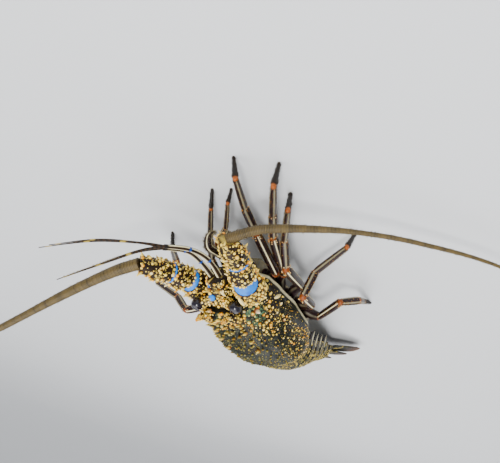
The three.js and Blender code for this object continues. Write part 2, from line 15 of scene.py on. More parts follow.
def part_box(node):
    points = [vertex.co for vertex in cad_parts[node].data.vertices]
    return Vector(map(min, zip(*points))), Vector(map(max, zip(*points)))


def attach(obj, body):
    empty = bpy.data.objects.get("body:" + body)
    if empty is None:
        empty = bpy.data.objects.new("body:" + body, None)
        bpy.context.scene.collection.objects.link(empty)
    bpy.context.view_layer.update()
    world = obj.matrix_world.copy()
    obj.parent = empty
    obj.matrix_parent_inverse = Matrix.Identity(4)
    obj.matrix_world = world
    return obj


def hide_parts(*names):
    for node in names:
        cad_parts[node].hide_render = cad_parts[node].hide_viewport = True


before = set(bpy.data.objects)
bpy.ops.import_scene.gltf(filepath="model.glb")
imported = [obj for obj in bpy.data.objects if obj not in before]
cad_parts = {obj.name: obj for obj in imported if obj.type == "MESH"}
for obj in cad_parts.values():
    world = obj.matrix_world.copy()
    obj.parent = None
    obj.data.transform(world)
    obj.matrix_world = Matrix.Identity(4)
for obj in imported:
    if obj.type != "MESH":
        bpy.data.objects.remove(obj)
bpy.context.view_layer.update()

MM = 0.001
TURN = 2 * math.pi
CAMERA_PLACE = (245.7, -156.6, 171.6)
CAMERA_RIGHT = (-0.3718, -0.8889, -0.2675)
CAMERA_UP = (0.5709, 0.0082, -0.8210)
CAMERA_BACK = (0.7320, -0.4580, 0.5044)
FOCAL_PIXELS = 459.05
PHOTO_WIDTH = 500
SENSOR_WIDTH = 36.0

RIGHT = -1
LEFT = 1
SIDES = (("r", RIGHT), ("l", LEFT))

EYE_CENTRE = np.array([7.0, -14.5, 66.2])
EYE_RADIUS = 4.2


def frame_shift():
    """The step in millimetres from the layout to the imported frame."""
    low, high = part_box("eye_r")
    centre = np.array([(low[i] + high[i]) / 2 for i in range(3)]) / MM
    return centre - EYE_CENTRE


SHIFT = frame_shift()


def rgb(code):
    """A linear colour from a display colour written as six hexadecimal digits."""
    parts = [int(code[i : i + 2], 16) / 255 for i in (0, 2, 4)]
    return np.array([p / 12.92 if p <= 0.04045 else ((p + 0.055) / 1.055) ** 2.4 for p in parts])


BLACK_GREEN = rgb("12160d")
DEEP_BROWN = rgb("140e08")
UMBER = rgb("33210f")
OLIVE = rgb("5d6b38")
REED = rgb("9fb07a")
SEA_GREEN = rgb("6f9f78")
CREAM = rgb("ffdc62")
PALE = rgb("fff3c0")
YELLOW = rgb("ffae12")
ORANGE = rgb("d8741c")
RUST = rgb("7a3412")
BLUE = rgb("0079dc")
DEEP_BLUE = rgb("0650b4")
PALE_BLUE = rgb("8fd0f5")
MAROON = rgb("1c070a")
BONE = rgb("a89a72")
WHIP_BROWN = rgb("4a3a1c")
WHIP_PALE = rgb("75622f")
VIOLET = rgb("17131f")
CUFF_GREEN = rgb("1f7a3a")
# Near black for the caps that close the hollow shell and tail rings: painted shade inside the gaps between
# parts
SHADED_INSIDE = BLACK_GREEN * 0.4


def vec(*parts):
    return np.array(parts, float)


def unit(a):
    a = np.asarray(a, float)
    return a / np.maximum(np.linalg.norm(a, axis=-1, keepdims=True), 1e-9)


def mix(a, b, t):
    t = np.asarray(t, float)[..., None]
    return a * (1 - t) + b * t


def ease(low, high, value):
    t = np.clip((value - low) / (high - low), 0, 1)
    return t * t * (3 - 2 * t)


def along(table, place):
    """Smooth interpolation in a list of (place, value) pairs, as the solids use it."""
    place = np.asarray(place, float)
    out = np.full(place.shape, float(table[0][1]))
    for (p0, v0), (p1, v1) in zip(table, table[1:]):
        t = ease(p0, p1, place)
        out = np.where(place > p0, v0 + (v1 - v0) * t, out)
    return out


def heading(turn, rise):
    t, r = math.radians(turn), math.radians(rise)
    return vec(math.cos(r) * math.cos(t), math.cos(r) * math.sin(t), math.sin(r))


def mottle(points, size, seed):
    """Smooth noise between 0 and 1 with blotches of about the given size in millimetres."""
    draw = default_rng(seed)
    total = np.zeros(len(points))
    for octave in range(3):
        for _ in range(4):
            direction = unit(draw.normal(size=3))
            phase = draw.uniform(0, TURN)
            wave = TURN * 2**octave / (size * draw.uniform(1.5, 2.6))
            warp = np.sin(points @ unit(draw.normal(size=3)) * wave * 0.6 + phase)
            total += np.sin(points @ direction * wave + phase + 1.3 * warp) / 2**octave
    return np.clip(0.5 + total / 9, 0, 1)


def blotch(points, size, seed, low, high):
    """Strength of the blotches of a mottle, none at low and full at high."""
    return ease(low, high, mottle(points, size, seed))


def veins(points, size, seed, edge, core):
    """Strength of the thin lines between the blotches of a mottle."""
    return ease(edge, core, np.abs(mottle(points, size, seed) - 0.5))


def hump(x, middle, width):
    return np.exp(-(((x - middle) / width) ** 2))


def wave(x):
    return 0.5 + 0.5 * np.sin(x)


# Pieces


def add_object(name, data):
    new = bpy.data.objects.new(name, data)
    bpy.context.scene.collection.objects.link(new)
    return new


class Form:
    """Gathers the points, colours and faces of one piece."""

    def __init__(self):
        self.points, self.colours, self.quads, self.triangles = [], [], [], []
        self.count = 0

    def add(self, points, colours, quads=(), triangles=()):
        points = np.asarray(points, float).reshape(-1, 3)
        colours = np.asarray(colours, float)
        self.points.append(points)
        self.colours.append(np.broadcast_to(colours, points.shape))
        self.quads.append(np.asarray(quads, int).reshape(-1, 4) + self.count)
        self.triangles.append(np.asarray(triangles, int).reshape(-1, 3) + self.count)
        self.count += len(points)

    def cap(self, ring, colour):
        """Closes a ring of points with a fan of triangles round its middle."""
        count = len(ring)
        fan = [(i, (i + 1) % count, count) for i in range(count)]
        self.add(np.vstack([ring, ring.mean(0)]), colour, triangles=fan)

    def add_rows(self, rows, colours, end_colour):
        """Adds a closed skin over rings of points, with a cap at each end."""
        self.add(np.concatenate(rows), colours, grid_quads(len(rows), len(rows[0]), True))
        for ring in (rows[0], rows[-1]):
            self.cap(ring, end_colour)

    def build(self, name, nodes, material):
        lists = (self.points, self.colours, self.quads, self.triangles)
        points, colours, quads, triangles = (np.concatenate(one) for one in lists)
        points = (points + SHIFT) * MM
        loops = np.concatenate([quads.ravel(), triangles.ravel()]).astype(np.int32)
        sides = np.repeat([4, 3], [len(quads), len(triangles)])
        starts = np.cumsum(sides) - sides
        mesh = bpy.data.meshes.new(name)
        mesh.vertices.add(len(points))
        mesh.vertices.foreach_set("co", points.astype(np.float32).ravel())
        mesh.loops.add(len(loops))
        mesh.loops.foreach_set("vertex_index", loops)
        mesh.polygons.add(len(starts))
        mesh.polygons.foreach_set("loop_start", starts.astype(np.int32))
        mesh.update(calc_edges=True)
        mesh.polygons.foreach_set("use_smooth", np.ones(len(starts), bool))
        tint = mesh.color_attributes.new("Tint", "FLOAT_COLOR", "POINT")
        colours = np.column_stack([colours, np.ones(len(colours))])
        tint.data.foreach_set("color", colours.astype(np.float32).ravel())
        mesh.materials.append(material)
        piece = add_object(name, mesh)
        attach(piece, "root")
        if nodes:
            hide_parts(*nodes)


def grid_quads(rows, columns, closed):
    """The quads of a grid of points, closed round its columns if asked."""
    last = columns if closed else columns - 1
    r, c = np.meshgrid(np.arange(rows - 1), np.arange(last), indexing="ij")
    start, after = r * columns, (c + 1) % columns
    corners = [start + c, start + after, start + columns + after, start + columns + c]
    return np.stack(corners, -1).reshape(-1, 4)


def station(at, a, b=None, **ways):
    """One section of a limb: its place, half width and half height. It is round without b."""
    return {"at": at, "a": a, "b": a if b is None else b, **ways}


def ball_grid(rows, columns, hole):
    """Points of a unit ball with a hole of the given angle at each pole."""
    t = np.repeat(np.linspace(hole, math.pi - hole, rows), columns)
    p = np.tile(np.linspace(0, TURN, columns, endpoint=False), rows)
    return np.stack([np.sin(t) * np.cos(p), np.sin(t) * np.sin(p), np.cos(t)], -1)


def section(angle, power):
    """Cosine and sine for an oval section, squarer for a power above 2."""
    return [np.sign(v) * np.abs(v) ** (2 / power) for v in (np.cos(angle), np.sin(angle))]


class Tube:
    """A limb: a sweep with an oval section, given by its stations."""

    def __init__(self, stations, up_hint=(0, 0, 1), power=2.0):
        table = [[s[key] for s in stations] for key in ("at", "a", "b")]
        self.at, self.a, self.b = (np.array(values, float) for values in table)
        self.power = power
        ups, normals = [], []
        last = len(stations) - 1
        for i, one in enumerate(stations):
            way = self.at[min(last, i + 1)] - self.at[max(0, i - 1)]
            normal = unit(one.get("normal", way))
            side = unit(np.cross(normal, one.get("up", up_hint)))
            normals.append(normal)
            ups.append(np.cross(side, normal))
        self.normal, self.up = np.array(normals), np.array(ups)

    def _smooth(self, values, s):
        """Curve through the stations' values at s, counted in stations."""
        last = len(values) - 1
        i = np.clip(np.floor(s).astype(int), 0, last - 1)
        t = (s - i).reshape((-1,) + (1,) * (values.ndim - 1))
        p0, p1 = values[np.maximum(i - 1, 0)], values[i]
        p2, p3 = values[i + 1], values[np.minimum(i + 2, last)]
        m1, m2 = (p2 - p0) / 2, (p3 - p1) / 2
        t2, t3 = t * t, t * t * t
        before = (2 * t3 - 3 * t2 + 1) * p1 + (t3 - 2 * t2 + t) * m1
        return before + (3 * t2 - 2 * t3) * p2 + (t3 - t2) * m2

    def frames(self, u):
        s = np.clip(np.asarray(u, float), 0, 1) * (len(self.at) - 1)
        normal = unit(self._smooth(self.normal, s))
        side = unit(np.cross(normal, self._smooth(self.up, s)))
        up = np.cross(side, normal)
        return self._smooth(self.at, s), side, up, self._smooth(self.a, s), self._smooth(self.b, s)

    def surface(self, u, angle, swell=0.0):
        """Points of the surface and their outward directions."""
        at, side, up, a, b = self.frames(u)
        x, y = section(angle, self.power)
        out = unit(side * (np.cos(angle) / a)[:, None] + up * (np.sin(angle) / b)[:, None])
        point = at + side * (a * x)[:, None] + up * (b * y)[:, None]
        return point + out * np.asarray(swell, float).reshape(-1, 1), out

    def draw(self, form, steps, count, colour, swell=None):
        """Adds the closed surface. colour and swell are functions of u, angle and the points."""
        u = np.repeat(np.linspace(0, 1, steps + 1), count)
        angle = np.tile(TURN * (np.arange(count) + 0.5) / count, steps + 1)
        point, _ = self.surface(u, angle)
        if swell is not None:
            point, _ = self.surface(u, angle, swell(u, angle, point))
        ends = np.array([point[:count].mean(0), point[-count:].mean(0)])
        ring = np.arange(count)
        after = (ring + 1) % count
        base = steps * count
        middle = np.full(count, base + count)
        caps = [(middle, after, ring), (middle + 1, base + ring, base + after)]
        caps = np.stack(caps).transpose(0, 2, 1)
        tint = np.broadcast_to(colour(u, angle, point), point.shape)
        tint = np.concatenate([tint, tint[:1], tint[-1:]])
        form.add(np.concatenate([point, ends]), tint, grid_quads(steps + 1, count, True), caps)


# Profiles of grains and thorns, as (radius, height) from the root to the tip

GRAIN = ((1.0, -0.35), (0.95, 0.3), (0.62, 0.8), (0.0, 1.0))
BEAD = ((0.9, -0.4), (1.04, 0.15), (0.88, 0.6), (0.45, 0.92), (0.0, 1.0))
THORN = ((1.0, -0.3), (0.86, 0.08), (0.55, 0.42), (0.26, 0.76), (0.0, 1.0))
HAIR = ((1.0, -0.05), (0.6, 0.5), (0.0, 1.0))


def scatter(form, at, out, radius, height, root, tip, profile=GRAIN, sides=6, lean=(0, 0, 0), bend=0.0):
    """Adds many small cones of one profile. lean bends each tip that way."""
    at = np.asarray(at, float).reshape(-1, 3)
    n = len(at)
    if n == 0:
        return
    out, lean, root, tip = (np.broadcast_to(v, at.shape) for v in (out, lean, root, tip))
    radius, height = (np.broadcast_to(np.asarray(v, float), n)[:, None] for v in (radius, height))
    out = unit(out)
    hint = np.where(np.abs(out[:, 2:3]) < 0.9, vec(0, 0, 1), vec(1, 0, 0))
    side = unit(np.cross(out, hint))
    up = np.cross(side, out)
    pull = unit(lean) * bend
    points, colours = [], []
    for r, h in profile[:-1]:
        for k in range(sides):
            t = TURN * k / sides
            ring = side * math.cos(t) + up * math.sin(t)
            step = out * h * height + pull * (max(h, 0) ** 2 * height)
            points.append(at + ring * (r * radius) + step)
            colours.append(root + (tip - root) * max(0.0, min(1.0, (h - 0.05) / 0.6)))
    points.append(at + out * height + pull * height)
    colours.append(tip)
    top = (len(profile) - 2) * sides
    fan = [(top + k, top + (k + 1) % sides, top + sides) for k in range(sides)]
    quads = grid_quads(len(profile) - 1, sides, True)
    offset = (np.arange(n) * len(points))[:, None, None]
    colours = np.stack(colours, 1).reshape(-1, 3)
    form.add(np.stack(points, 1), colours, quads + offset, np.array(fan) + offset)


# Materials


def set_nodes(data, main, values):
    """Gives a material or world its nodes and sets inputs of the main one."""
    data.use_nodes = True
    for label, value in values:
        data.node_tree.nodes[main].inputs[label].default_value = value


def material(name, roughness, grain, relief, coat=0.0, spread=0.35, gloss=0.35):
    """A shell material: the piece's own colours, broken up by noise, with a fine relief."""
    made = bpy.data.materials.new(name)
    values = (("Specular IOR Level", gloss), ("Coat Weight", coat), ("Coat Roughness", 0.2))
    set_nodes(made, "Principled BSDF", values)
    nodes, links = made.node_tree.nodes, made.node_tree.links
    shader = nodes["Principled BSDF"]

    def node(kind, values=()):
        new = nodes.new("ShaderNode" + kind)
        for label, value in values:
            new.inputs[label].default_value = value
        return new

    place = node("TexCoord")
    tint = node("Attribute")
    tint.attribute_name = "Tint"
    noise = node("TexNoise", (("Scale", 1 / (grain * MM)), ("Detail", 6)))
    shade = node("MapRange", (("To Min", 1 - spread), ("To Max", 1 + spread)))
    blend = node("VectorMath")
    blend.operation = "SCALE"
    rough = node("MapRange", (("To Min", roughness - 0.12), ("To Max", roughness + 0.15)))
    bump = node("Bump", (("Strength", 0.6), ("Distance", relief * MM)))
    links.new(place.outputs["Object"], noise.inputs["Vector"])
    for target in (shade.inputs["Value"], rough.inputs["Value"], bump.inputs["Height"]):
        links.new(noise.outputs["Fac"], target)
    links.new(tint.outputs["Color"], blend.inputs[0])
    links.new(shade.outputs["Result"], blend.inputs["Scale"])
    links.new(blend.outputs["Vector"], shader.inputs["Base Color"])
    links.new(rough.outputs["Result"], shader.inputs["Roughness"])
    links.new(bump.outputs["Normal"], shader.inputs["Normal"])
    return made


SHELL = material("shell", 0.45, 1.1, 0.3, coat=0.03, gloss=0.2)
LIMB = material("limb", 0.38, 1.4, 0.2, coat=0.06, spread=0.25, gloss=0.25)
WHIP = material("whip", 0.55, 0.8, 0.15)
EYE = material("eye", 0.2, 0.5, 0.02, coat=0.4, spread=0.15)
SOFT = material("soft", 0.42, 1.6, 0.2, coat=0.2, spread=0.12)


# Carapace

CARAPACE_LENGTH = 90.0
# Half width, top and bottom of the carapace by X
SHELL_WIDTH = ((-90, 31), (-76, 35), (-50, 33), (-26, 29), (-10, 25.5), (0, 21))
SHELL_TOP = ((-90, 71), (-76, 75), (-52, 77), (-30, 75), (-12, 71.5), (0, 68))
SHELL_BOTTOM = ((-90, 40), (-76, 35), (-45, 32.5), (-12, 32.5), (0, 35))
# Height of the widest place as a share, and the angle by which the shell curls under
SHELL_BULGE = 0.38
SHELL_UNDER = 0.42
HORN_ROOT = vec(-6, 11, 68)
HORN_TIP = vec(9.5, 9.5, 79)
BEAD_LEAN = vec(0.4, 0, 0)
BEAD_LIMIT = 0.93
# X, Y and height of the larger thorns in two rows along the back
BACK_THORNS = ((-13, 9.5, 3.6), (-22, 11, 3.0), (-33, 12, 2.6), (-46, 12, 2.3))
# Y, Z, way, radius, height and tip colour of the thorns under the eyes
CHEEK_THORNS = (
    (23, 61, vec(0.45, 0.8, 0.5), 2.0, 4.8, PALE),
    (24.5, 51, vec(0.4, 0.9, 0.1), 1.7, 4.0, CREAM),
)
# Clear room round an eye, in millimetres
EYE_ROOM = 1.4
GREEN_PLACE = vec(-11, -21, 62)
GREEN_REACH = vec(9, 7, 8)


def shell_base(x, turn):
    width, top, bottom = along(SHELL_WIDTH, x), along(SHELL_TOP, x), along(SHELL_BOTTOM, x)
    middle = bottom + SHELL_BULGE * (top - bottom)
    angle = -SHELL_UNDER + turn * (math.pi + 2 * SHELL_UNDER)
    s = np.sin(angle)
    over = middle + (top - middle) * np.abs(s) ** 0.92
    below = middle + (middle - bottom) * s / math.sin(SHELL_UNDER)
    return np.stack([x, -width * np.cos(angle), np.where(s >= 0, over, below)], -1)


def shell_normal(x, turn):
    forward = shell_base(x + 0.5, turn) - shell_base(x - 0.5, turn)
    across = shell_base(x, turn + 0.005) - shell_base(x, turn - 0.005)
    return unit(np.cross(forward, across))


def shell_dent(x, turn):
    """Depth in millimetres of the neck groove, the gill lines and the rim furrow."""
    off = np.abs(turn - 0.5) * 2
    neck = -46 + 22 * off**1.5
    groove = 1.3 * hump(x, neck, 2.4) * ease(1.02, 0.85, off)
    gill = 0.6 * hump(off, 0.34, 0.035) * ease(-44, -52, x)
    rim = 0.8 * hump(x, -84, 1.3)
    edge = 0.7 * hump(off, 0.93, 0.022)
    return groove + gill + rim + edge


def shell_point(x, turn):
    return shell_base(x, turn) - shell_normal(x, turn) * shell_dent(x, turn)[..., None]


def distance(point, place, reach=1):
    """Distance from a place in units of reach."""
    return np.linalg.norm((point - place) / reach, axis=1)


def side_distance(point, place, reach=1):
    """The distance from a place or from its mirror image, whichever is less."""
    return np.minimum(distance(point, place, reach), distance(point * vec(1, -1, 1), place, reach))


def green_patch(point):
    """How far a point lies in the sea green patch behind either eye."""
    return ease(1.3, 0.5, side_distance(point, GREEN_PLACE, GREEN_REACH))


def shell_colour(x, turn, point):
    off = np.abs(turn - 0.5) * 2
    base = mix(BLACK_GREEN * 0.3, BLACK_GREEN * 1.1, mottle(point, 9, 3))
    base = mix(base, UMBER * 0.5, blotch(point, 14, 4, 0.5, 0.8) * 0.6)
    front = ease(-36, -12, x) * ease(0.75, 0.5, off)
    base = mix(base, REED * 0.4, front * veins(point, 3.6, 5, 0.05, 0.02) * 0.7)
    base = mix(base, SEA_GREEN * 0.5, green_patch(point) * blotch(point, 1.8, 7, 0.5, 0.62))
    rear = ease(-20, -45, x) * ease(0.03, 0.01, np.abs(mottle(point, 5.0, 6) - 0.52))
    base = mix(base, OLIVE * 0.5, rear * 0.5)
    margin = ease(0.958, 0.968, off) * ease(0.996, 0.986, off)
    base = mix(base, PALE * 0.8, margin)
    return mix(base, CREAM * 0.6, hump(x, -87.5, 1.0) * 0.7)


def draw_shell(form):
    rows, columns = 150, 170
    x = np.repeat(np.linspace(-0.2, -CARAPACE_LENGTH, rows), columns)
    turn = np.tile(np.linspace(0, 1, columns), rows)
    point = shell_point(x, turn)
    form.add(point, shell_colour(x, turn, point), grid_quads(rows, columns, False))
    # The end caps are painted near black as shade inside the shell
    for x_end in (-0.2, -CARAPACE_LENGTH):
        form.cap(shell_point(np.full(columns, x_end), np.linspace(0, 1, columns)), SHADED_INSIDE)
    edges = [shell_point(x[::columns], np.full(rows, edge)) for edge in (0.0, 1.0)]
    form.add(np.stack(edges, 1), BONE * 0.3, grid_quads(rows, 2, False))


def shell_places(spacing, seed, high=-1.0):
    """Even places over the shell from x = high back, spacing being a table by x."""
    draw = default_rng(seed)
    xs, turns = [], []
    x, row = high, 0
    while x > 2 - CARAPACE_LENGTH:
        step = float(along(spacing, x))
        arc = float(along(SHELL_WIDTH, x)) * 4.1
        count = max(6, int(arc / step))
        turn = 0.5 + (np.arange(count) + 0.5 * (row % 2) + 0.25 - count / 2) / count * BEAD_LIMIT
        turns.append(turn + draw.uniform(-0.3, 0.3, count) / count)
        xs.append(x + draw.uniform(-0.3, 0.3, count) * step)
        x -= step * 0.87
        row += 1
    x, turn = np.concatenate(xs), np.concatenate(turns)
    return x, turn, shell_point(x, turn), np.abs(turn - 0.5) * 2, draw


def near_eye(point):
    """Whether a point is inside the room of an eye or its socket."""
    return side_distance(point, EYE_CENTRE) < EYE_RADIUS + EYE_ROOM


def bead_tints(draw, count, warm=0.3):
    """Tip and root colours of beads: cream to yellow tips over rust to orange roots."""
    pick = draw.uniform(size=count)
    tip = mix(CREAM, YELLOW, ease(1 - warm, 1, pick))
    tip = mix(tip, PALE, ease(0.3, 0.0, pick) * 0.7) * draw.uniform(0.65, 1.0, count)[:, None]
    return tip * 1.15, mix(RUST * 0.3, ORANGE * 0.7, draw.uniform(size=count) ** 3)


def add_beads(form, point, way, size, draw, warm, tall):
    """Round beads of mixed tints. tall is their height for each unit of radius."""
    tip, root = bead_tints(draw, len(size), warm)
    scatter(form, point, way, size, size * tall, root, tip, BEAD, 8)


def on_back(x, off):
    """How far a place is on the darker rear part of the back."""
    return ease(0.6, 0.25, off) * ease(-8, -26, x)


# Seed, spacing and radius by place, dullness, profile and sides of each size of bead
BEAD_LAYERS = (
    (31, ((-90, 8.0), (-40, 6.4), (-22, 4.4), (0, 3.6)),
     ((-90, 0.62), (-40, 0.75), (-12, 1.1), (0, 1.25)), 0.0, BEAD, 7),
    (32, ((-90, 3.2), (-40, 3.3), (0, 3.6)), ((-90, 0.4), (-40, 0.45), (0, 0.6)), 0.1, GRAIN, 5),
    (33, ((-90, 1.9), (-40, 2.1), (0, 2.6)), ((-90, 0.2), (-40, 0.24), (0, 0.3)), 0.35, GRAIN, 5),
)


def draw_shell_grains(form):
    """Beads of three sizes: large at the front and round the eyes, fine towards the rear."""
    for seed, spacing, radius, dull, profile, sides in BEAD_LAYERS:
        x, turn, point, off, draw = shell_places(spacing, seed)
        plenty = 0.25 + 0.65 * blotch(point, 13, 35, 0.35, 0.6)
        plenty *= 1 - 0.6 * ease(0.5, 0.2, off) * ease(-8, -24, x) * (profile is BEAD)
        keep = ~near_eye(point) & (draw.uniform(size=len(x)) < plenty)
        x, turn, point, off = (a[keep] for a in (x, turn, point, off))
        size = draw.uniform(0.65, 1.2, len(x)) * along(radius, x)
        lean = shell_normal(x, turn) + vec(0.45, 0, 0)
        tip, root = bead_tints(draw, len(x), 0.35)
        tip = mix(tip, REED * 0.7, ease(0.5, 0.1, off) * ease(-4, -16, x) * draw.uniform(0, 0.7, len(x)))
        dull = dull + 0.25 * blotch(point, 16, 34, 0.6, 0.25)
        back = on_back(x, off)
        tip = mix(tip, OLIVE * 0.5, np.minimum(dull + 0.45 * back, 1))
        root = mix(root, BLACK_GREEN, 0.7 * back)
        tip = mix(tip, SEA_GREEN, green_patch(point) * 0.65)
        scatter(form, point, lean, size, size * 1.2, root, tip, profile, sides)


def draw_shell_thorns(form):
    x, turn, point, off, draw = shell_places(((-90, 7.5), (-40, 7.0), (0, 6.4)), 12, high=-3)
    keep = ~near_eye(point) & (off < 0.86)
    x, turn, point, off = (a[keep] for a in (x, turn, point, off))
    size = along(((-90, 1.6), (-50, 2.0), (-18, 3.2), (0, 3.8)), x) * draw.uniform(0.75, 1.25, len(x))
    lean = shell_normal(x, turn) + vec(0.75, 0, 0)
    tip, root = bead_tints(draw, len(x))
    back = on_back(x, off)
    tip = mix(tip, OLIVE * 0.6, 0.6 * back)
    root = mix(root, BLACK_GREEN, 0.85 * back)
    scatter(form, point, lean, 0.34 * size + 0.3, size, root, tip, THORN, 10, vec(1, 0, -0.2), 0.25)
    pale_bar(form, *CHEEK_BAR)
    for side in (RIGHT, LEFT):
        for place, y, height in BACK_THORNS:
            at = vec(place, y * side, float(along(SHELL_TOP, place)) - 2.0)
            way = vec(0.8, 0.15 * side, 0.9)
            scatter(form, at, way, 1.7, height + 1.3, RUST, CREAM, THORN, 12, vec(1, 0, 0), 0.3)
        for y, z, way, radius, height, tip in CHEEK_THORNS:
            scatter(form, vec(-7, y * side, z), way * vec(1, side, 1), radius, height, RUST, tip, THORN, 12)


def horn_tube(side):
    root = HORN_ROOT * vec(1, side, 1)
    tip = HORN_TIP * vec(1, side, 1)
    bend = (root + tip) / 2 + vec(1.2, 0, -1.0)
    return Tube([
        station(root + vec(-5, 0, -3), 4.2),
        station(root, 3.8, 3.9),
        station(bend, 2.4, 2.6),
        station(tip + (bend - tip) * 0.3, 1.2, 1.3),
        station(tip, 0.25),
    ])


def horn_colour(u, angle, point):
    base = mix(DEEP_BROWN, UMBER, mottle(point, 5, 8))
    bands = blotch(point, 3.2, 9, 0.6, 0.7)
    base = mix(base, CREAM * 0.8, bands * ease(0.15, 0.5, u))
    base = mix(base, YELLOW * 0.9, ease(0.66, 0.8, u))
    return mix(base, ORANGE, ease(0.9, 1.0, u) * 0.6)


def add_carapace():
    shell = Form()
    draw_shell(shell)
    for _, side in SIDES:
        horn = horn_tube(side)
        horn.draw(shell, 40, 20, horn_colour)
        u, angle, draw = tube_places(9, 8, 37 + side, 0.3, 0.86)
        point, out = horn.surface(u, angle)
        size = draw.uniform(0.35, 0.95, len(u)) * (1.3 - u)
        add_beads(shell, point, out + BEAD_LEAN, size, draw, 0.5, 1.2)
    shell.build("carapace_shell", ["carapace"], SHELL)
    grains = Form()
    draw_shell_grains(grains)
    grains.build("carapace_grains", [], SHELL)
    thorns = Form()
    draw_shell_thorns(thorns)
    thorns.build("carapace_thorns", [], SHELL)


# Breast plate

FIRST_COXA = vec(-24, 13, 25.5)
COXA_STEP = 14.0
WALL_SLOPE = 0.214
COXA_WALL_FOOT = 17.5
GAP = 0.3


def wall_y(x):
    return FIRST_COXA[1] + (FIRST_COXA[0] - x) * WALL_SLOPE


def add_breast():
    form = Form()
    columns = 40
    rows = []
    for place in np.linspace(-12, -CARAPACE_LENGTH, 90):
        y = wall_y(place) - GAP
        top = float(along(SHELL_BOTTOM, place)) - 0.5
        bottom = 13 + max(0.0, place + 20) * 0.6
        edge = y * 0.62
        ys = (-y, -y, -edge, 0, edge, y, y)
        zs = (top, COXA_WALL_FOOT, bottom, bottom - 0.5, bottom, COXA_WALL_FOOT, top)
        step = np.linspace(0, len(ys) - 1, columns)
        ys, zs = (np.interp(step, np.arange(len(line)), line) for line in (ys, zs))
        joint = abs(((place - FIRST_COXA[0]) / COXA_STEP + 0.5) % 1 - 0.5)
        groove = 0.7 * hump(joint, 0.5, 0.08)
        rows.append(np.stack([np.full(columns, place), ys, zs + groove * (zs < 18)], -1))
    grid = np.concatenate(rows)
    tint = mix(BONE * 0.5, BONE * 0.9, mottle(grid, 5, 21))
    tint = mix(tint, MAROON, blotch(grid, 7, 22, 0.55, 0.7) * 0.7)
    form.add_rows(rows, tint, BONE * 0.6)
    form.build("breast", ["breast_plate"], SOFT)


# Head between the feelers

BLUE_OVAL = vec(10.2, 2.8, 62.2)
BLUE_OVAL_RADIUS = 2.3
BLUE_SPOTS = ((vec(17, 4.5, 57), vec(2.4, 1.6, 2.4)), (vec(12, 6.5, 60), vec(3.0, 1.8, 2.4)))
PALE_BARS = (
    (vec(15.0, -4.4, 59.2), vec(9.3, -6.4, 60.0), 0.8),
    (vec(8.0, -7.2, 60.0), vec(3.0, -8.0, 59.8), 0.8),
    (vec(19.0, -21.8, 64.9), vec(8.5, -21.2, 65.0), 1.2),
)
CHEEK_BAR = (vec(-18.0, -27.2, 45.4), vec(-25.0, -27.8, 39.0), 1.3)


def pale_bar(form, start, end, width):
    """A short smooth ridge, pale from end to end."""
    table = ((0, 0.5), (0.3, 1.0), (0.65, 1.0), (1, 0.4))
    bar = Tube([station(start + (end - start) * t, width * k) for t, k in table])
    bar.draw(form, 24, 14, lambda u, angle, point: mix(PALE * 0.9, CREAM, mottle(point, 2, 39)))


def head_tube():
    """The block between the feelers, upright and nearly square in section."""
    tops = ((0, 65), (6, 63), (14, 60), (19, 56))
    bottoms = ((0, 36), (10, 38), (19, 45))
    widths = ((0, 8.2), (12, 7.6), (20, 5.2))
    stations = []
    for x in (0.1, 4, 9, 14, 19):
        top, bottom, width = (float(along(table, x)) for table in (tops, bottoms, widths))
        at = vec(x, 0, (top + bottom) / 2)
        stations.append(station(at, width, (top - bottom) / 2, normal=vec(1, 0, 0)))
    return Tube(stations, power=3.2)


def head_colour(u, angle, point):
    base = mix(DEEP_BROWN * 0.6, UMBER * 0.6, mottle(point, 4, 31))
    base = mix(base, CREAM * 0.8, veins(point, 3.2, 32, 0.03, 0.01) * 0.7)
    spot = np.minimum(*[distance(point, centre, reach) for centre, reach in BLUE_SPOTS])
    return mix(base, BLUE, ease(1.1, 0.8, spot))


def eye_stalk_colour(u, angle, point):
    base = mix(DEEP_BROWN * 0.6, UMBER, mottle(point, 3, 33))
    return mix(base, CREAM * 0.8, veins(point, 3.0, 34, 0.05, 0.02) * ease(0.95, 0.7, u))


def add_stalk(form, side):
    eye = EYE_CENTRE * vec(1, -side, 1)
    bend = vec(6.2, 7.5 * side, 63.2)
    stalk = Tube([
        station(vec(4.5, 2 * side, 60.5), 3.2, 2.8),
        station(bend, 3.0, 2.8),
        station(eye + (bend - eye) * 0.35, 3.1, 3.0),
    ])
    stalk.draw(form, 32, 32, eye_stalk_colour)
    u, angle, draw = tube_places(5, 10, 38 + side, 0.12, 0.8)
    point, out = stalk.surface(u, angle)
    clear = distance(point, BLUE_OVAL) > BLUE_OVAL_RADIUS + 0.8
    size = draw.uniform(0.45, 1.05, len(u))[clear]
    add_beads(form, point[clear], out[clear], size, draw, 0.4, 1.1)
    for at, way, height, radius in (
        (vec(15, 3.4 * side, 59), vec(0.8, 0.1 * side, 0.9), 6.5, 1.5),
        (vec(9, 3.6 * side, 61.5), vec(0.7, 0.15 * side, 1), 4.5, 1.3),
    ):
        scatter(form, at, way, radius, height, RUST, CREAM, THORN, 12, vec(1, 0, 0), 0.2)


def add_head():
    form = Form()
    plate = head_tube()
    plate.draw(form, 40, 48, head_colour)
    for _, side in SIDES:
        add_stalk(form, side)
    for rows, columns, low_size, high_size in ((5, 12, 0.8, 1.3), (9, 20, 0.35, 0.6)):
        u, angle, draw = tube_places(rows, columns, 35 + rows, 0.15, 0.95)
        point, out = plate.surface(u, angle)
        above = point[:, 2] > 52
        size = draw.uniform(low_size, high_size, len(u))[above]
        add_beads(form, point[above], (out + BEAD_LEAN)[above], size, draw, 0.4, 1.3)
    scatter(form, BLUE_OVAL, vec(0.6, -0.2, 0.8), BLUE_OVAL_RADIUS, 1.2, BLUE, BLUE, BEAD, 24)
    for bar in PALE_BARS:
        pale_bar(form, *bar)
    form.build("head_plate", ["head"], SHELL)


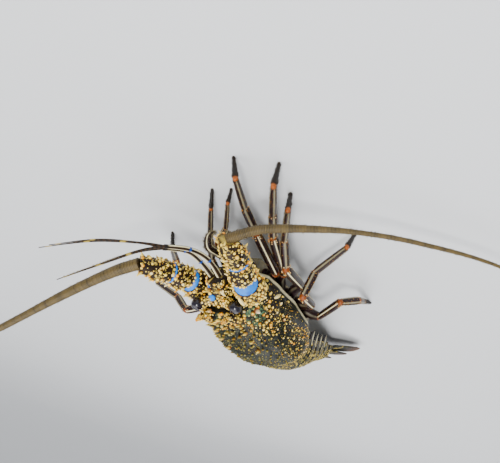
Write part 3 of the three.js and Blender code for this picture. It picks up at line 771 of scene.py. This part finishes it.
def add_eyes():
    for tag, side in SIDES:
        form = Form()
        centre = EYE_CENTRE * vec(1, -side, 1)
        rows, columns = 28, 36
        ball = ball_grid(rows, columns, 0.02)
        point = centre + ball * EYE_RADIUS
        # The eyeball is painted lighter on top and darker underneath: painted light and shade
        tint = mix(VIOLET * 0.5, VIOLET * 1.3, ease(-0.2, 0.9, ball[:, 2]))
        form.add(point, tint, grid_quads(rows, columns, True))
        form.build(f"eyeball_{tag}", [f"eye_{tag}"], EYE)


# Antennae

ANTENNA_JOINTS = {
    "r": [vec(0.4, -20, 51), vec(21.5, -25, 56), vec(41, -27.5, 53), vec(60.5, -27.5, 49.5)],
    "l": [vec(0.4, 20, 51), vec(18.5, 21, 54), vec(35, 27.5, 58), vec(51, 35, 62.5)],
}
WHIP_PATH = {
    "r": [(58, -45, 41), (49, -66, 34), (36, -92, 27), (18, -124, 22), (-10, -165, 19), (-60, -215, 20),
          (-130, -262, 28)],
    "l": [(52, 52, 70), (48, 84, 84), (38, 132, 104), (22, 190, 124), (-4, 250, 140), (-50, 318, 150),
          (-110, 372, 150)],
}
WHIP_BEND = {"r": vec(0.1, -0.9, -0.42), "l": vec(0.35, 0.88, 0.36)}
WHIP_RADIUS = {
    "r": ((0, 3.1), (0.1, 2.4), (0.25, 1.5), (0.6, 0.8), (1, 0.3)),
    "l": ((0, 3.9), (0.1, 3.2), (0.25, 2.5), (0.6, 1.3), (1, 0.35)),
}
SEGMENT_RADIUS = ((10.4, 8.8), (8.5, 7.8), (7.6, 5.4))
ANTENNA_SEED = {"r": 100, "l": 200}
WHIP_SEED = {"r": 300, "l": 301}
# Spacing, smallest and largest size, profile, width for height and sides of thorns, beads and grains
FEELER_LAYERS = (
    (7.6, 2.0, 3.2, THORN, 0.34, 12),
    (3.5, 0.7, 1.25, BEAD, 1.0, 10),
    (2.7, 0.3, 0.55, GRAIN, 1.0, 6),
)
# Room round the head that the feelers' thorns keep clear of
HEAD_MIDDLE = vec(10, 0, 52)
HEAD_REACH = 10.5
# Steps in millimetres from the two joints of a feeler to where its blue rings show
RING_STEP = {"r": (1.0, 0.0), "l": (-3.0, -4.6)}
# For each joint: near radius, far radius, thickness and how far the far end is set off
RING_SIZE = {
    "r": ((7.9, 5.6, 6.4, 2.6), (6.6, 6.3, 1.4, 0.0)),
    "l": ((7.6, 6.4, 3.8, 1.6), (6.8, 6.4, 1.8, 0.6)),
}
RING_OPENS = {"r": vec(0.1, -0.75, 0.65), "l": vec(0, -0.1, 1)}
# Place along a cuff and its swell there
CUFF_OUTLINE = ((0, 0.93), (0.12, 1.0), (0.4, 1.06), (0.7, 1.06), (0.9, 1.0), (1, 0.9))
# Part of their spacing by which places on a limb are shaken either way
SHAKE = 0.35
# Length in millimetres of the rings of a long feeler near its root
WHIP_RING = 0.95


def segment_tube(tag, i):
    """A thick length of a feeler. It starts narrow, set off from the open side of its blue ring."""
    joints = piece_joints(tag)
    start, end = joints[i], joints[i + 1]
    axis = unit(end - start)
    r0, r1 = SEGMENT_RADIUS[i]
    span = np.linalg.norm(end - start)
    if i == 0:
        first = station(start + vec(0.15, 0, 0), r0 * 0.86, normal=vec(1, 0, 0))
    else:
        normal, shift = ring_facts(tag, i)
        _, far, thick, _ = RING_SIZE[tag][i - 1]
        first = station(start + normal * (thick / 2 - 0.6) - shift, far, normal=normal)
    if i == 2:
        normal = unit(axis + unit(WHIP_BEND[tag]))
        last = station(end - normal * 0.15, r1 * 0.92, normal=normal)
    else:
        normal = ring_facts(tag, i + 1)[0]
        near, _, thick, _ = RING_SIZE[tag][i]
        last = station(end - normal * (thick / 2 - 0.6), near, normal=normal)
    second = station(start + axis * span * 0.36, r0 * 0.97, normal=axis)
    third = station(start + axis * span * 0.62, (r0 + r1) / 2, normal=axis)
    return Tube([first, second, third, last])


def feeler_colour(seed):
    def colour(u, angle, point):
        base = mix(DEEP_BROWN * 0.5, UMBER * 0.7, mottle(point, 5, seed))
        where = blotch(point, 12, seed + 2, 0.42, 0.55)
        return mix(base, CREAM * 0.85, veins(point, 4.4, seed + 1, 0.035, 0.015) * where)

    return colour


def tube_places(rows, columns, seed, low, high):
    """Even places on a tube, a little shaken, and the source of their random numbers."""
    draw = default_rng(seed)
    u = np.repeat(np.linspace(low, high, rows), columns)
    odd = np.arange(rows).repeat(columns) % 2
    angle = TURN * (np.tile(np.arange(columns), rows) + 0.5 * odd) / columns
    u = u + draw.uniform(-SHAKE, SHAKE, len(u)) * (high - low) / rows
    angle = angle + draw.uniform(-SHAKE, SHAKE, len(u)) * TURN / columns
    return np.clip(u, low, high), angle, draw


def random_places(draw, count, low, high):
    return draw.uniform(low, high, count), draw.uniform(0, TURN, count)


def ring_facts(tag, i):
    """The axis of a joint's ring, and the step from its centre to the side where it is open."""
    joints = piece_joints(tag)
    normal = unit(unit(joints[i] - joints[i - 1]) + unit(joints[i + 1] - joints[i]))
    opens = RING_OPENS[tag]
    return normal, unit(opens - normal * (opens @ normal)) * RING_SIZE[tag][i - 1][3]


def piece_joints(tag):
    joints = list(ANTENNA_JOINTS[tag])
    first = joints[1] + unit(joints[1] - joints[0]) * RING_STEP[tag][0]
    second = joints[2] + unit(joints[2] - joints[1]) * RING_STEP[tag][1]
    return [joints[0], first, second, joints[3]]


def add_antenna(tag):
    joints = piece_joints(tag)
    eye = EYE_CENTRE * vec(1, 1 if tag == "r" else -1, 1)
    for i in range(3):
        tube = segment_tube(tag, i)
        form = Form()
        seed = ANTENNA_SEED[tag] + i
        tube.draw(form, 60, 72, feeler_colour(seed))
        span = np.linalg.norm(joints[i + 1] - joints[i])
        axis = unit(joints[i + 1] - joints[i])
        girth = TURN * SEGMENT_RADIUS[i][1]
        for layer, (spacing, small, large, profile, width, sides) in enumerate(FEELER_LAYERS):
            rows, columns = max(3, int(span / spacing)), max(6, int(girth / spacing))
            u, angle, draw = tube_places(rows, columns, seed + 10 * layer, 0.07, 0.94)
            point, out = tube.surface(u, angle)
            size = draw.uniform(small, large, len(u))
            clear = distance(point, eye) > EYE_RADIUS + 1 + size
            clear &= (distance(point, HEAD_MIDDLE) > HEAD_REACH + size) | (layer > 0)
            point, out, size = point[clear], out[clear], size[clear]
            tip, root = bead_tints(draw, len(size))
            radius = width * size + 0.3 * (profile is THORN)
            way = out + axis * 0.5
            scatter(form, point, way, radius, size * 1.15, root, tip, profile, sides, axis, 0.25)
        form.build(f"feeler_{tag}_{i + 1}", [f"antenna_{tag}_{i + 1}"], SHELL)
    add_membranes(tag)


def cuff_colour(u, angle, point):
    base = mix(BLUE, DEEP_BLUE, blotch(point, 3.0, 51, 0.5, 0.8) * 0.7)
    base = mix(base, PALE_BLUE, ease(0.16, 0.04, u) * 0.9)
    return mix(base, CUFF_GREEN, ease(0.86, 0.94, u) * 0.8)


def add_membranes(tag):
    """The soft blue cuffs, wide at the near end and set off to one side at the far end."""
    form = Form()
    joints = piece_joints(tag)
    for i in (1, 2):
        normal, shift = ring_facts(tag, i)
        near, far, thick, _ = RING_SIZE[tag][i - 1]
        stations = []
        for t, swell in CUFF_OUTLINE:
            at = joints[i] + normal * ((t - 0.5) * thick) - shift * t
            stations.append(station(at, (near + (far - near) * t) * swell, normal=normal))
        Tube(stations).draw(form, 24, 64, cuff_colour)
    form.build(f"membranes_{tag}", [], SOFT)


def curve_points(points, steps):
    """Even places on a smooth curve through the points."""
    tube = Tube([station(p, 1) for p in points])
    dense = tube.frames(np.linspace(0, 1, 800))[0]
    length = np.concatenate([[0], np.cumsum(np.linalg.norm(np.diff(dense, axis=0), axis=1))])
    want = np.linspace(0, length[-1], steps)
    return np.stack([np.interp(want, length, dense[:, k]) for k in range(3)], -1), length[-1]


def add_whip(tag):
    form = Form()
    points, length = curve_points([ANTENNA_JOINTS[tag][-1]] + WHIP_PATH[tag], 60)
    radius = along(WHIP_RADIUS[tag], np.linspace(0, 1, len(points)))
    tube = Tube([station(p, r) for p, r in zip(points, radius)])
    rings = length / WHIP_RING

    def beat(u):
        """Number of a place's ring, and how far along that ring it lies."""
        return np.divmod(u * rings * (1 + 0.6 * u), 1)

    def band(u, angle, point):
        step, part = beat(u)
        base = mix(WHIP_BROWN * 0.45, WHIP_BROWN, wave(step * 0.42))
        return mix(base, WHIP_PALE, ease(0.62, 0.8, part) * 0.75)

    def relief(u, angle, point):
        return 0.09 * np.sin(beat(u)[1] * TURN) * (1 - 0.7 * u)

    tube.draw(form, 1500, 14, band, relief)
    draw = default_rng(WHIP_SEED[tag])
    n = 1500
    place = draw.uniform(0.0, 0.95, n) ** 1.2
    angle = draw.uniform(0, TURN, n)
    point, out = tube.surface(place, angle)
    ahead = tube.surface(np.minimum(place + 0.004, 1), angle)[0] - point
    size = draw.uniform(0.8, 1.7, n) * (1 - 0.5 * place)
    scatter(form, point, out + unit(ahead) * 1.1, 0.11, size, WHIP_BROWN * 0.5, WHIP_PALE, HAIR, 3)
    form.build(f"long_feeler_{tag}", [f"whip_{tag}_{i}" for i in (1, 2, 3)], WHIP)


# Antennules

# Points of the stalk, and those that the two branches pass beyond it
ANTENNULE = {
    "l": (
        [(19.6, 3.0, 50.5), (34, 5, 48.5), (45, 9, 48.5), (57, 16.5, 54.5)],
        [(66, 24, 57), (83, 41, 66), (98, 57, 80)],
        [(66, 25, 63), (76, 37, 78), (86, 48, 93)],
    ),
    "r": (
        [(19.6, -3.0, 50.5), (37, -3, 49), (51, 1.5, 51), (65, 9, 58)],
        [(76, 18, 63), (92, 33, 73), (108, 49, 88)],
        [(75, 17, 68), (86, 28, 84), (97, 38, 100)],
    ),
}
STALK_RADIUS = ((0, 2.0), (0.33, 1.6), (0.66, 1.5), (1, 1.3))
BRANCH_RADIUS = ((0, 0.85), (0.4, 0.6), (1, 0.25))


def small_stalk_colour(u, angle, point):
    base = mix(DEEP_BROWN * 0.8, UMBER, mottle(point, 4, 61))
    base = mix(base, PALE, ease(0.86, 0.95, np.abs(np.cos(angle * 1.5 + 0.6))) * 0.9)
    base = mix(base, DEEP_BROWN, ease(0.93, 0.97, u))
    joint = np.minimum(np.abs(u - 0.33), np.abs(u - 0.66))
    return mix(base, DEEP_BLUE * 0.6, ease(0.02, 0.008, joint))


def branch_colour(u, angle, point):
    base = mix(DEEP_BROWN, UMBER * 1.2, wave(u * 140))
    return mix(base, CREAM * 0.6, ease(0.9, 0.98, wave(u * 22)) * ease(0.1, 0.2, u) * 0.6)


def thin_limb(form, points, table, steps, colour, count):
    path, _ = curve_points(points, steps)
    radius = along(table, np.linspace(0, 1, steps))
    tube = Tube([station(p, r) for p, r in zip(path, radius)])
    tube.draw(form, steps * 8, count, colour)
    return tube


def add_antennule(tag):
    form = Form()
    stalk, inner, outer = ANTENNULE[tag]
    thin_limb(form, stalk, STALK_RADIUS, 20, small_stalk_colour, 20)
    for branch in (inner, outer):
        tube = thin_limb(form, stalk[-1:] + branch, BRANCH_RADIUS, 24, branch_colour, 10)
    draw = default_rng(66)
    n = 220
    place = draw.uniform(0.45, 0.95, n)
    point, out = tube.surface(place, draw.uniform(-0.5, 0.5, n))
    scatter(form, point, out, 0.09, 1.5, UMBER, BONE, HAIR, 3)
    form.build(f"small_feeler_{tag}", [f"antennule_{tag}"], LIMB)


# Legs and mouth limbs

LENGTHS = (17, 40, 20, 36, 17)
LEG_SEED = 400
KNOB_ANGLES = vec(0.5, 1.57, 2.6, 4.1, 5.3)
LEGS = (
    ("leg_r1", 0, RIGHT, 0.95, ((-49, 8), (3, -11), (18, -30), (-16, 7), (60,))),
    ("leg_r2", 1, RIGHT, 1.0, ((-36, -12), (-7, -7), (-16, -14), (-23, 8), (25,))),
    ("leg_r3", 2, RIGHT, 1.0, ((-61, -16), (-4, 12), (-2, -42), (-23, 1), (136,))),
    ("leg_r4", 3, RIGHT, 0.97, ((-76, 7), (-10, 17), (-58, -66), (-49, -10), (-166,))),
    ("leg_r5", 4, RIGHT, 0.85, ((-90, 12), (-42, -3), (-137, -28), (174, -25), (-172,))),
    ("leg_l1", 0, LEFT, 0.7, ((18, -4), (-12, -4), (-46, -33), (-26, -7), (48,))),
    ("leg_l2", 1, LEFT, 0.85, ((83, -2), (-14, 4), (1, -46), (-24, -12), (-18,))),
    ("leg_l3", 2, LEFT, 1.0, ((69, 8), (43, 18), (-28, -32), (124, -38), (-21,))),
    ("leg_l4", 3, LEFT, 0.97, ((95, 6), (84, 22), (92, -40), (96, -24), (110,))),
    ("leg_l5", 4, LEFT, 0.85, ((96, 4), (130, 20), (140, -32), (148, -24), (155,))),
)


def leg_joints(pair, side, scale, pose):
    x = FIRST_COXA[0] - COXA_STEP * pair
    joints = [vec(x, wall_y(x) * side, FIRST_COXA[2])]
    for (turn, rise), length in zip(pose[:4], LENGTHS):
        joints.append(joints[-1] + heading(turn, rise) * length * scale)
    ankle = joints[4]
    reach = math.sqrt(max((LENGTHS[4] * scale) ** 2 - ankle[2] ** 2, 1))
    joints.append((ankle + heading(pose[4][0], 0) * reach) * vec(1, 1, 0))
    return joints


def stripes(seed, first=0.9, gap=1.57, width=0.085, strength=1.0):
    """Dark limb colour with pale lines lengthwise, at even turns round the limb."""

    def colour(u, angle, point):
        base = mix(MAROON * 0.5, MAROON * 1.5, mottle(point, 7, seed))
        base = mix(base, UMBER * 0.7, blotch(point, 11, seed + 1, 0.55, 0.75) * 0.5)
        turn = np.abs((angle - first + gap / 2) % gap - gap / 2)
        line = ease(width + 0.05, width - 0.03, turn) * ease(0.02, 0.08, u) * ease(0.99, 0.93, u)
        base = mix(base, PALE * 1.2, line * strength)
        end = np.maximum(ease(0.05, 0.0, u), ease(0.95, 1.0, u))
        return mix(base, ORANGE * 0.6, end * 0.5)

    return colour


# Place, half width and half height along the three long pieces of a leg
MERUS = ((0.0, 2.6, 3.1), (0.12, 3.1, 3.7), (0.5, 3.3, 4.0), (0.86, 3.3, 4.0), (1.0, 2.5, 3.0))
CARPUS = ((0.02, 2.2, 2.7), (0.2, 2.7, 3.2), (0.6, 2.9, 3.5), (0.9, 2.8, 3.4), (0.99, 2.1, 2.6))
PROPODUS = ((0.01, 1.9, 2.4), (0.1, 2.4, 3.0), (0.5, 2.3, 2.8), (0.9, 1.9, 2.3), (1.0, 1.5, 1.8))


def segment(form, start, end, sizes, k, colour, steps, count):
    """One long piece of a leg, k being the scale of the leg."""
    way = end - start
    tube = Tube([station(start + way * t, a * k, b * k, normal=way) for t, a, b in sizes])
    tube.draw(form, steps, count, colour)
    return tube


def joint_ball(form, at, radius, colour):
    rows, columns = 12, 18
    form.add(at + ball_grid(rows, columns, 0.05) * radius, colour, grid_quads(rows, columns, True))


def dactyl_colour(u, angle, point):
    base = mix(ORANGE * 0.6, DEEP_BROWN * 0.8, ease(0.02, 0.25, u))
    return mix(base, BONE * 0.4, ease(0.9, 1.0, u))


def add_leg(index, leg):
    name, pair, side, k, pose = leg
    coxa, hip, knee, wrist, ankle, toe = leg_joints(pair, side, k, pose)
    form = Form()
    seed = LEG_SEED + 7 * index
    wall = unit(vec(WALL_SLOPE, side, 0))
    colour = stripes(seed)
    plain = stripes(seed, strength=0.35)
    Tube([
        station(coxa, 5.8, 6, normal=wall),
        station(coxa + wall * 4.5, 5.2, normal=wall),
        station(coxa + (hip - coxa) * 0.62, 3.9, 4.2),
        station(hip, 3.3 * k, 3.7 * k),
    ]).draw(form, 40, 28, plain)
    merus = segment(form, hip, knee, MERUS, k, colour, 60, 32)
    carpus = segment(form, knee, wrist, CARPUS, k, colour, 36, 28)
    propodus = segment(form, wrist, ankle, PROPODUS, k, colour, 50, 28)
    drop = vec(0, 0, 0.25)
    dactyl = Tube([
        station(ankle, 1.4 * k, 1.7 * k),
        station(ankle + (toe - ankle) * 0.2, 1.7 * k, 1.9 * k),
        station(ankle + (toe - ankle) * 0.75 + drop, 1.1 * k, 1.2 * k),
        station(toe + vec(0, 0, 0.02), 0.85, normal=vec(0, 0, -1), up=vec(1, 0, 0)),
    ])
    dactyl.draw(form, 30, 18, dactyl_colour)
    for at, radius, warm, shade in ((hip, 2.9, 0, 0.7), (knee, 2.6, 0.3, 0.6), (wrist, 2.2, 0.45, 0.7),
                                    (ankle, 1.65, 0.45, 0.7)):
        joint_ball(form, at, radius * k, mix(RUST, ORANGE, warm) * shade)
    leg_knobs(form, merus, carpus, propodus, k, seed)
    leg_hairs(form, dactyl, propodus, k, seed)
    form.build(name, [f"{name}_upper", f"{name}_lower"], LIMB)


def leg_knobs(form, merus, carpus, propodus, k, seed):
    draw = default_rng(seed)
    for tube, places, size in ((merus, (0.84, 0.92), 1.5), (carpus, (0.12, 0.86), 1.2)):
        for u in places:
            point, out = tube.surface(np.full(5, u), KNOB_ANGLES)
            way = out + unit(tube.at[-1] - tube.at[0]) * 0.8
            tip = mix(PALE, YELLOW, draw.uniform(size=5))
            scatter(form, point, way, size * 0.42 * k, size * 0.8 * k, RUST, tip, THORN, 8)
    n = 110
    for tube in (merus, carpus, propodus):
        u, angle = random_places(draw, n, 0.05, 0.95)
        point, out = tube.surface(u, angle)
        size = draw.uniform(0.14, 0.3, n)
        tip = mix(BONE * 0.5, YELLOW * 0.7, draw.uniform(size=n))
        scatter(form, point, out, size, size, MAROON, tip, GRAIN, 5)


def leg_hairs(form, dactyl, propodus, k, seed):
    draw = default_rng(seed + 1)
    parts = ((dactyl, 420, 0.15, 0.9, 1.7), (propodus, 200, 0.55, 0.98, 1.3))
    for tube, count, low, high, length in parts:
        u, angle = random_places(draw, count, low, high)
        point, out = tube.surface(u, angle)
        ahead = tube.surface(np.minimum(u + 0.02, 1), angle)[0] - point
        size = draw.uniform(0.5, 1.0, count) * length * k
        way = out + unit(ahead) * 1.4
        size = np.minimum(size, np.where(way[:, 2] < 0, np.maximum(point[:, 2] - 0.1, 0.05), size))
        scatter(form, point, way, 0.09, size, DEEP_BROWN, UMBER * 1.3, HAIR, 3)


# Place, half width and half height along a mouth limb
MOUTH_LIMB = (
    (-10.5, 5.5, 24, 2.6, 4.0),
    (2, 6.2, 27, 2.7, 4.6),
    (16, 7, 31, 2.5, 3.8),
    (27, 7.5, 33.5, 2.2, 3.0),
    (31.5, 7, 29, 2.0, 2.4),
    (30.5, 6, 25, 1.2, 1.5),
    (27.5, 5, 22.5, 0.4, 0.5),
)


def add_maxillipeds():
    for tag, side in SIDES:
        form = Form()
        tube = Tube([station((x, y * side, z), a, b) for x, y, z, a, b in MOUTH_LIMB], (0, 1, 0.2))
        tube.draw(form, 120, 28, stripes(480 + side, first=1.5))
        draw = default_rng(490 + side)
        n = 700
        point, out = tube.surface(*random_places(draw, n, 0.3, 0.98))
        size = draw.uniform(0.8, 2.2, n)
        scatter(form, point, out + vec(0.4, 0, -0.3), 0.1, size, UMBER, BONE, HAIR, 3)
        form.build(f"mouth_limb_{tag}", [f"maxilliped_{tag}"], LIMB)


# Tail

RING_COUNT = 6
RING_LENGTHS = (15, 19, 18, 17, 17, 18)
RING_TILT = (8, 18, 27, 31, 29, 22)
RING_WIDTH = (29, 29, 27.5, 26, 24.5, 23)
RING_HEIGHT = (27, 27, 25, 22.5, 20, 17)
RING_START = vec(-CARAPACE_LENGTH - GAP, 0, 69)
RING_MIDDLE = 0.45
FAN_TILT = -15
# Place, width and thickness along a lobe of the fan, as shares of its sizes
FAN_OUTLINE = ((0.25, 0.66, 0.9), (0.55, 0.92, 0.7), (0.82, 1, 0.5), (0.95, 0.78, 0.4), (1, 0.5, 0.34))


def tail_path():
    tops = [RING_START]
    for length, tilt in zip(RING_LENGTHS, RING_TILT):
        tops.append(tops[-1] + heading(180, -tilt) * length)
    return tops


def ring_normal(i):
    if i == 0:
        return heading(180, 0)
    after = RING_TILT[i] if i < RING_COUNT else RING_TILT[i - 1]
    return heading(180, -(RING_TILT[i - 1] + after) / 2)


def upward(normal):
    return vec(normal[2], 0, -normal[0])


def tail_section(top, normal, width, height, count):
    up = upward(normal)
    t = np.linspace(0, math.pi, count)
    drop = height * (1 - np.sin(t) ** 0.85)
    over = top + np.outer(-width * np.cos(t), vec(0, 1, 0)) - np.outer(drop, up)
    belly = np.linspace(1, -1, 14)[1:-1]
    sag = height * (1 + 0.12 * np.cos(belly * math.pi / 2))
    under = top + np.outer(belly * width * 0.97, vec(0, 1, 0)) - np.outer(sag, up)
    return np.concatenate([over, under])


def tail_colour(point, u, seed):
    base = mix(BLACK_GREEN * 0.6, BLACK_GREEN * 1.6, mottle(point, 9, seed))
    base = mix(base, UMBER * 0.8, blotch(point, 14, seed + 1, 0.55, 0.75) * 0.6)
    speck = blotch(point, 2.6, seed + 2, 0.76, 0.8)
    base = mix(base, CREAM * 0.8, speck * 0.8)
    return mix(base, CREAM * 0.75, ease(0.9, 0.94, u) * ease(0.99, 0.95, u) * 0.85)


def add_tail_rings():
    tops = tail_path()
    count, steps = 90, 36
    for i in range(RING_COUNT):
        n0, n1 = ring_normal(i), ring_normal(i + 1)
        front = tops[i] + n0 * GAP / 2
        back = tops[i + 1] - n1 * GAP / 2
        w, h = RING_WIDTH[i], RING_HEIGHT[i]
        rise = upward(n1) * 1.2
        slant = unit(n0 + n1)
        lift = upward(slant)
        middle = front + (back - front) * RING_MIDDLE + rise * 0.9
        keys = [
            tail_section(front, n0, w - 1.2, h - 0.8, count),
            tail_section(middle, slant, w, h, count),
            tail_section(back + rise * 0.8, n1, w, h + 0.6, count),
        ]
        rows = []
        for t in np.linspace(0, 1, steps):
            if t < RING_MIDDLE:
                row = keys[0] + (keys[1] - keys[0]) * (t / RING_MIDDLE)
            else:
                row = keys[1] + (keys[2] - keys[1]) * ((t - RING_MIDDLE) / (1 - RING_MIDDLE))
            dent = 0.035 * hump(t, 0.42, 0.06) + 0.05 * float(ease(0.95, 1.0, t))
            dent += 0.05 * float(ease(0.1, 0.0, t))
            rows.append(row + (row.mean(0) - row) * dent)
        size = len(rows[0])
        grid = np.concatenate(rows)
        u = np.repeat(np.linspace(0, 1, steps), size)
        form = Form()
        # The ring's end caps are painted near black as shade in the gaps between rings
        form.add_rows(rows, tail_colour(grid, u, 500 + i), SHADED_INSIDE)
        if i < RING_COUNT - 1:
            for side in (RIGHT, LEFT):
                foot = middle - lift * h + vec(0, side * (w - 1.9), 0)
                tail_lobe(form, foot, n0, side, RING_LENGTHS[i] * 0.7, 520 + i)
        draw = default_rng(540 + i)
        n = 260
        point = grid[draw.integers(4, 32, n) * size + draw.integers(6, count - 6, n)]
        out = unit(point - (middle - lift * h * 0.6))
        grain = draw.uniform(0.25, 0.6, n)
        scatter(form, point, out, grain, grain * 0.8, RUST * 0.3, mix(OLIVE, CREAM, draw.uniform(size=n)))
        form.build(f"tail_{i + 1}", [f"tail_ring_{i + 1}"], SHELL)


def tail_lobe(form, foot, backward, side, size, seed):
    down = vec(0, 0, -1)
    tip = foot + vec(0, 0, -size * 0.7) + backward * size * 0.15 + vec(0, side, 0) * 0.6
    tube = Tube([
        station(foot + vec(0, 0, 3), 1.4, size * 0.4, normal=down, up=backward),
        station(foot + vec(0, 0, -3), 1.3, size * 0.36, normal=down, up=backward),
        station(tip, 0.6, 0.7, normal=down, up=backward),
    ])

    def colour(u, angle, point):
        base = mix(BLACK_GREEN * 0.6, MAROON, mottle(point, 5, seed))
        edge = ease(0.94, 0.99, np.abs(np.cos(angle)))
        return mix(base, PALE * 0.7, edge * 0.8)

    tube.draw(form, 24, 28, colour)


def fan_lobe(hinge, face, turn, length, half, thick):
    """Place, side, up, half width and half thickness of each key section of a lobe."""
    axis = heading(turn, FAN_TILT)
    side = unit(np.cross(axis, vec(0, 0, 1)))
    up = np.cross(side, axis)
    across = vec(0, 1, 0)
    keys = [(*hinge, *across, *np.cross(across, face), half * 0.42, thick / 2)]
    for t, w, h in FAN_OUTLINE:
        keys.append((*(hinge + axis * length * t), *side, *up, half * w, thick * h / 2))
    return np.array(keys)


def draw_fan(form, keys, seed):
    count, steps = 56, 60
    cx, sy = section(TURN * (np.arange(count) + 0.5) / count, 2.6)
    rows = []
    for s in np.linspace(0, len(keys) - 1, steps):
        row = np.array([np.interp(s, np.arange(len(keys)), column) for column in keys.T])
        ribs = 1 + 0.12 * np.sin(cx * 34) * min(1.0, s / 2)
        across = np.outer(cx * row[9], unit(row[3:6]))
        rows.append(row[0:3] + across + np.outer(sy * row[10] * ribs, unit(row[6:9])))
    grid = np.concatenate(rows)
    u = np.repeat(np.linspace(0, 1, steps), count)
    rib = wave(np.tile(cx, steps) * 34)
    base = mix(BLACK_GREEN * 0.6, UMBER, mottle(grid, 8, seed) * ease(0.3, 0.8, u))
    base = mix(base, ORANGE * 0.35, rib * ease(0.35, 0.9, u) * 0.6)
    base = mix(base, CREAM * 0.7, blotch(grid, 2.4, seed + 1, 0.68, 0.74) * ease(0.5, 0.1, u))
    base = mix(base, CREAM * 0.7, ease(0.93, 0.98, u) * 0.8)
    form.add_rows(rows, base, UMBER)


def add_tail_fan():
    last = tail_path()[RING_COUNT]
    face = ring_normal(RING_COUNT)
    up = np.cross(vec(0, 1, 0), face)
    lobes = [("fan_middle", "telson", 0, 6.5, 180, 36, 14, 4.4, 560)]
    for tag, side in SIDES:
        for name, node, y, drop, turn, *sizes in (
            ("fan_near", "fan_inner", 9.5, 10.8, 22, 36, 11.5, 3.2, 562),
            ("fan_far", "fan_outer", 14.5, 14.6, 44, 37, 12.5, 3.0, 564),
        ):
            lobes.append((f"{name}_{tag}", f"{node}_{tag}", y * side, drop, 180 - turn * side, *sizes))
    for name, node, y, drop, turn, length, half, thick, seed in lobes:
        form = Form()
        hinge = vec(last[0], y, last[2]) - up * drop + face * GAP
        draw_fan(form, fan_lobe(hinge, face, turn, length, half, thick), seed)
        form.build(name, [node], SHELL)


# Camera, floor and lights


def add_camera():
    data = bpy.data.cameras.new("camera")
    data.sensor_fit = "HORIZONTAL"
    data.sensor_width = SENSOR_WIDTH
    data.lens = FOCAL_PIXELS / PHOTO_WIDTH * SENSOR_WIDTH
    data.clip_start = 0.01
    data.clip_end = 20
    camera = add_object("camera", data)
    columns = [Vector(a).normalized() for a in (CAMERA_RIGHT, CAMERA_UP, CAMERA_BACK)]
    turn = Matrix(columns).transposed().to_4x4()
    place = (np.array(CAMERA_PLACE) + SHIFT) * MM
    camera.matrix_world = Matrix.Translation(Vector(place)) @ turn
    bpy.context.scene.camera = camera


# Flat part of the floor, bend and top of the wall, all in metres
FLOOR_REACH = 2.5
BEND_RADIUS = 4.0
WALL_HEIGHT = 6.5


def add_floor():
    """A pale round floor that turns up into a plain wall far behind the animal."""
    turns, steps = 64, 13
    bend = np.linspace(0, math.pi / 2, steps)
    reach = np.append(FLOOR_REACH + BEND_RADIUS * np.sin(bend), FLOOR_REACH + BEND_RADIUS)
    height = np.append(BEND_RADIUS * (1 - np.cos(bend)), WALL_HEIGHT)
    turn = np.tile(np.linspace(0, TURN, turns, endpoint=False), steps + 1)
    reach, height = reach.repeat(turns), height.repeat(turns)
    points = np.stack([reach * np.cos(turn), reach * np.sin(turn), height], -1)
    middle = len(points)
    faces = [(k, (k + 1) % turns, middle) for k in range(turns)]
    faces += grid_quads(steps + 1, turns, True)[:, ::-1].tolist()
    mesh = bpy.data.meshes.new("floor")
    mesh.from_pydata(points.tolist() + [(0.0, 0.0, 0.0)], [], faces)
    mesh.polygons.foreach_set("use_smooth", [True] * len(faces))
    floor = add_object("floor", mesh)
    paint = bpy.data.materials.new("floor")
    values = (("Base Color", (0.62, 0.63, 0.64, 1)), ("Roughness", 0.9))
    set_nodes(paint, "Principled BSDF", values)
    mesh.materials.append(paint)


# Name, place and width in metres, and power in watts
LAMPS = (
    ("key", (0.6, -0.35, 0.7), 0.25, 9),
    ("fill", (0.2, 0.7, 0.8), 0.8, 3),
    ("back", (-0.7, -0.1, 0.7), 0.6, 3),
    ("overhead", (0.0, 0.0, 4.5), 6.0, 260),
)
LAMP_AIM = Vector((0.03, -0.05, 0.04))


def add_light(name, place, size, power):
    data = bpy.data.lights.new(name, "AREA")
    data.shape = "DISK"
    data.size = size
    data.energy = power
    light = add_object(name, data)
    light.location = place
    aim = LAMP_AIM - Vector(place)
    light.rotation_euler = aim.to_track_quat("-Z", "Y").to_euler()


def add_world():
    world = bpy.data.worlds.new("studio")
    set_nodes(world, "Background", (("Color", (0.9, 0.93, 1.0, 1)), ("Strength", 0.55)))
    bpy.context.scene.world = world


add_camera()
add_floor()
add_world()
for lamp in LAMPS:
    add_light(*lamp)

add_carapace()
add_breast()
add_head()
add_eyes()
for side_tag, _ in SIDES:
    add_antenna(side_tag)
    add_whip(side_tag)
    add_antennule(side_tag)
add_maxillipeds()
for leg_index, leg_data in enumerate(LEGS):
    add_leg(leg_index, leg_data)
add_tail_rings()
add_tail_fan()


def plain(box):
    return [[float(c) for c in corner] for corner in box]
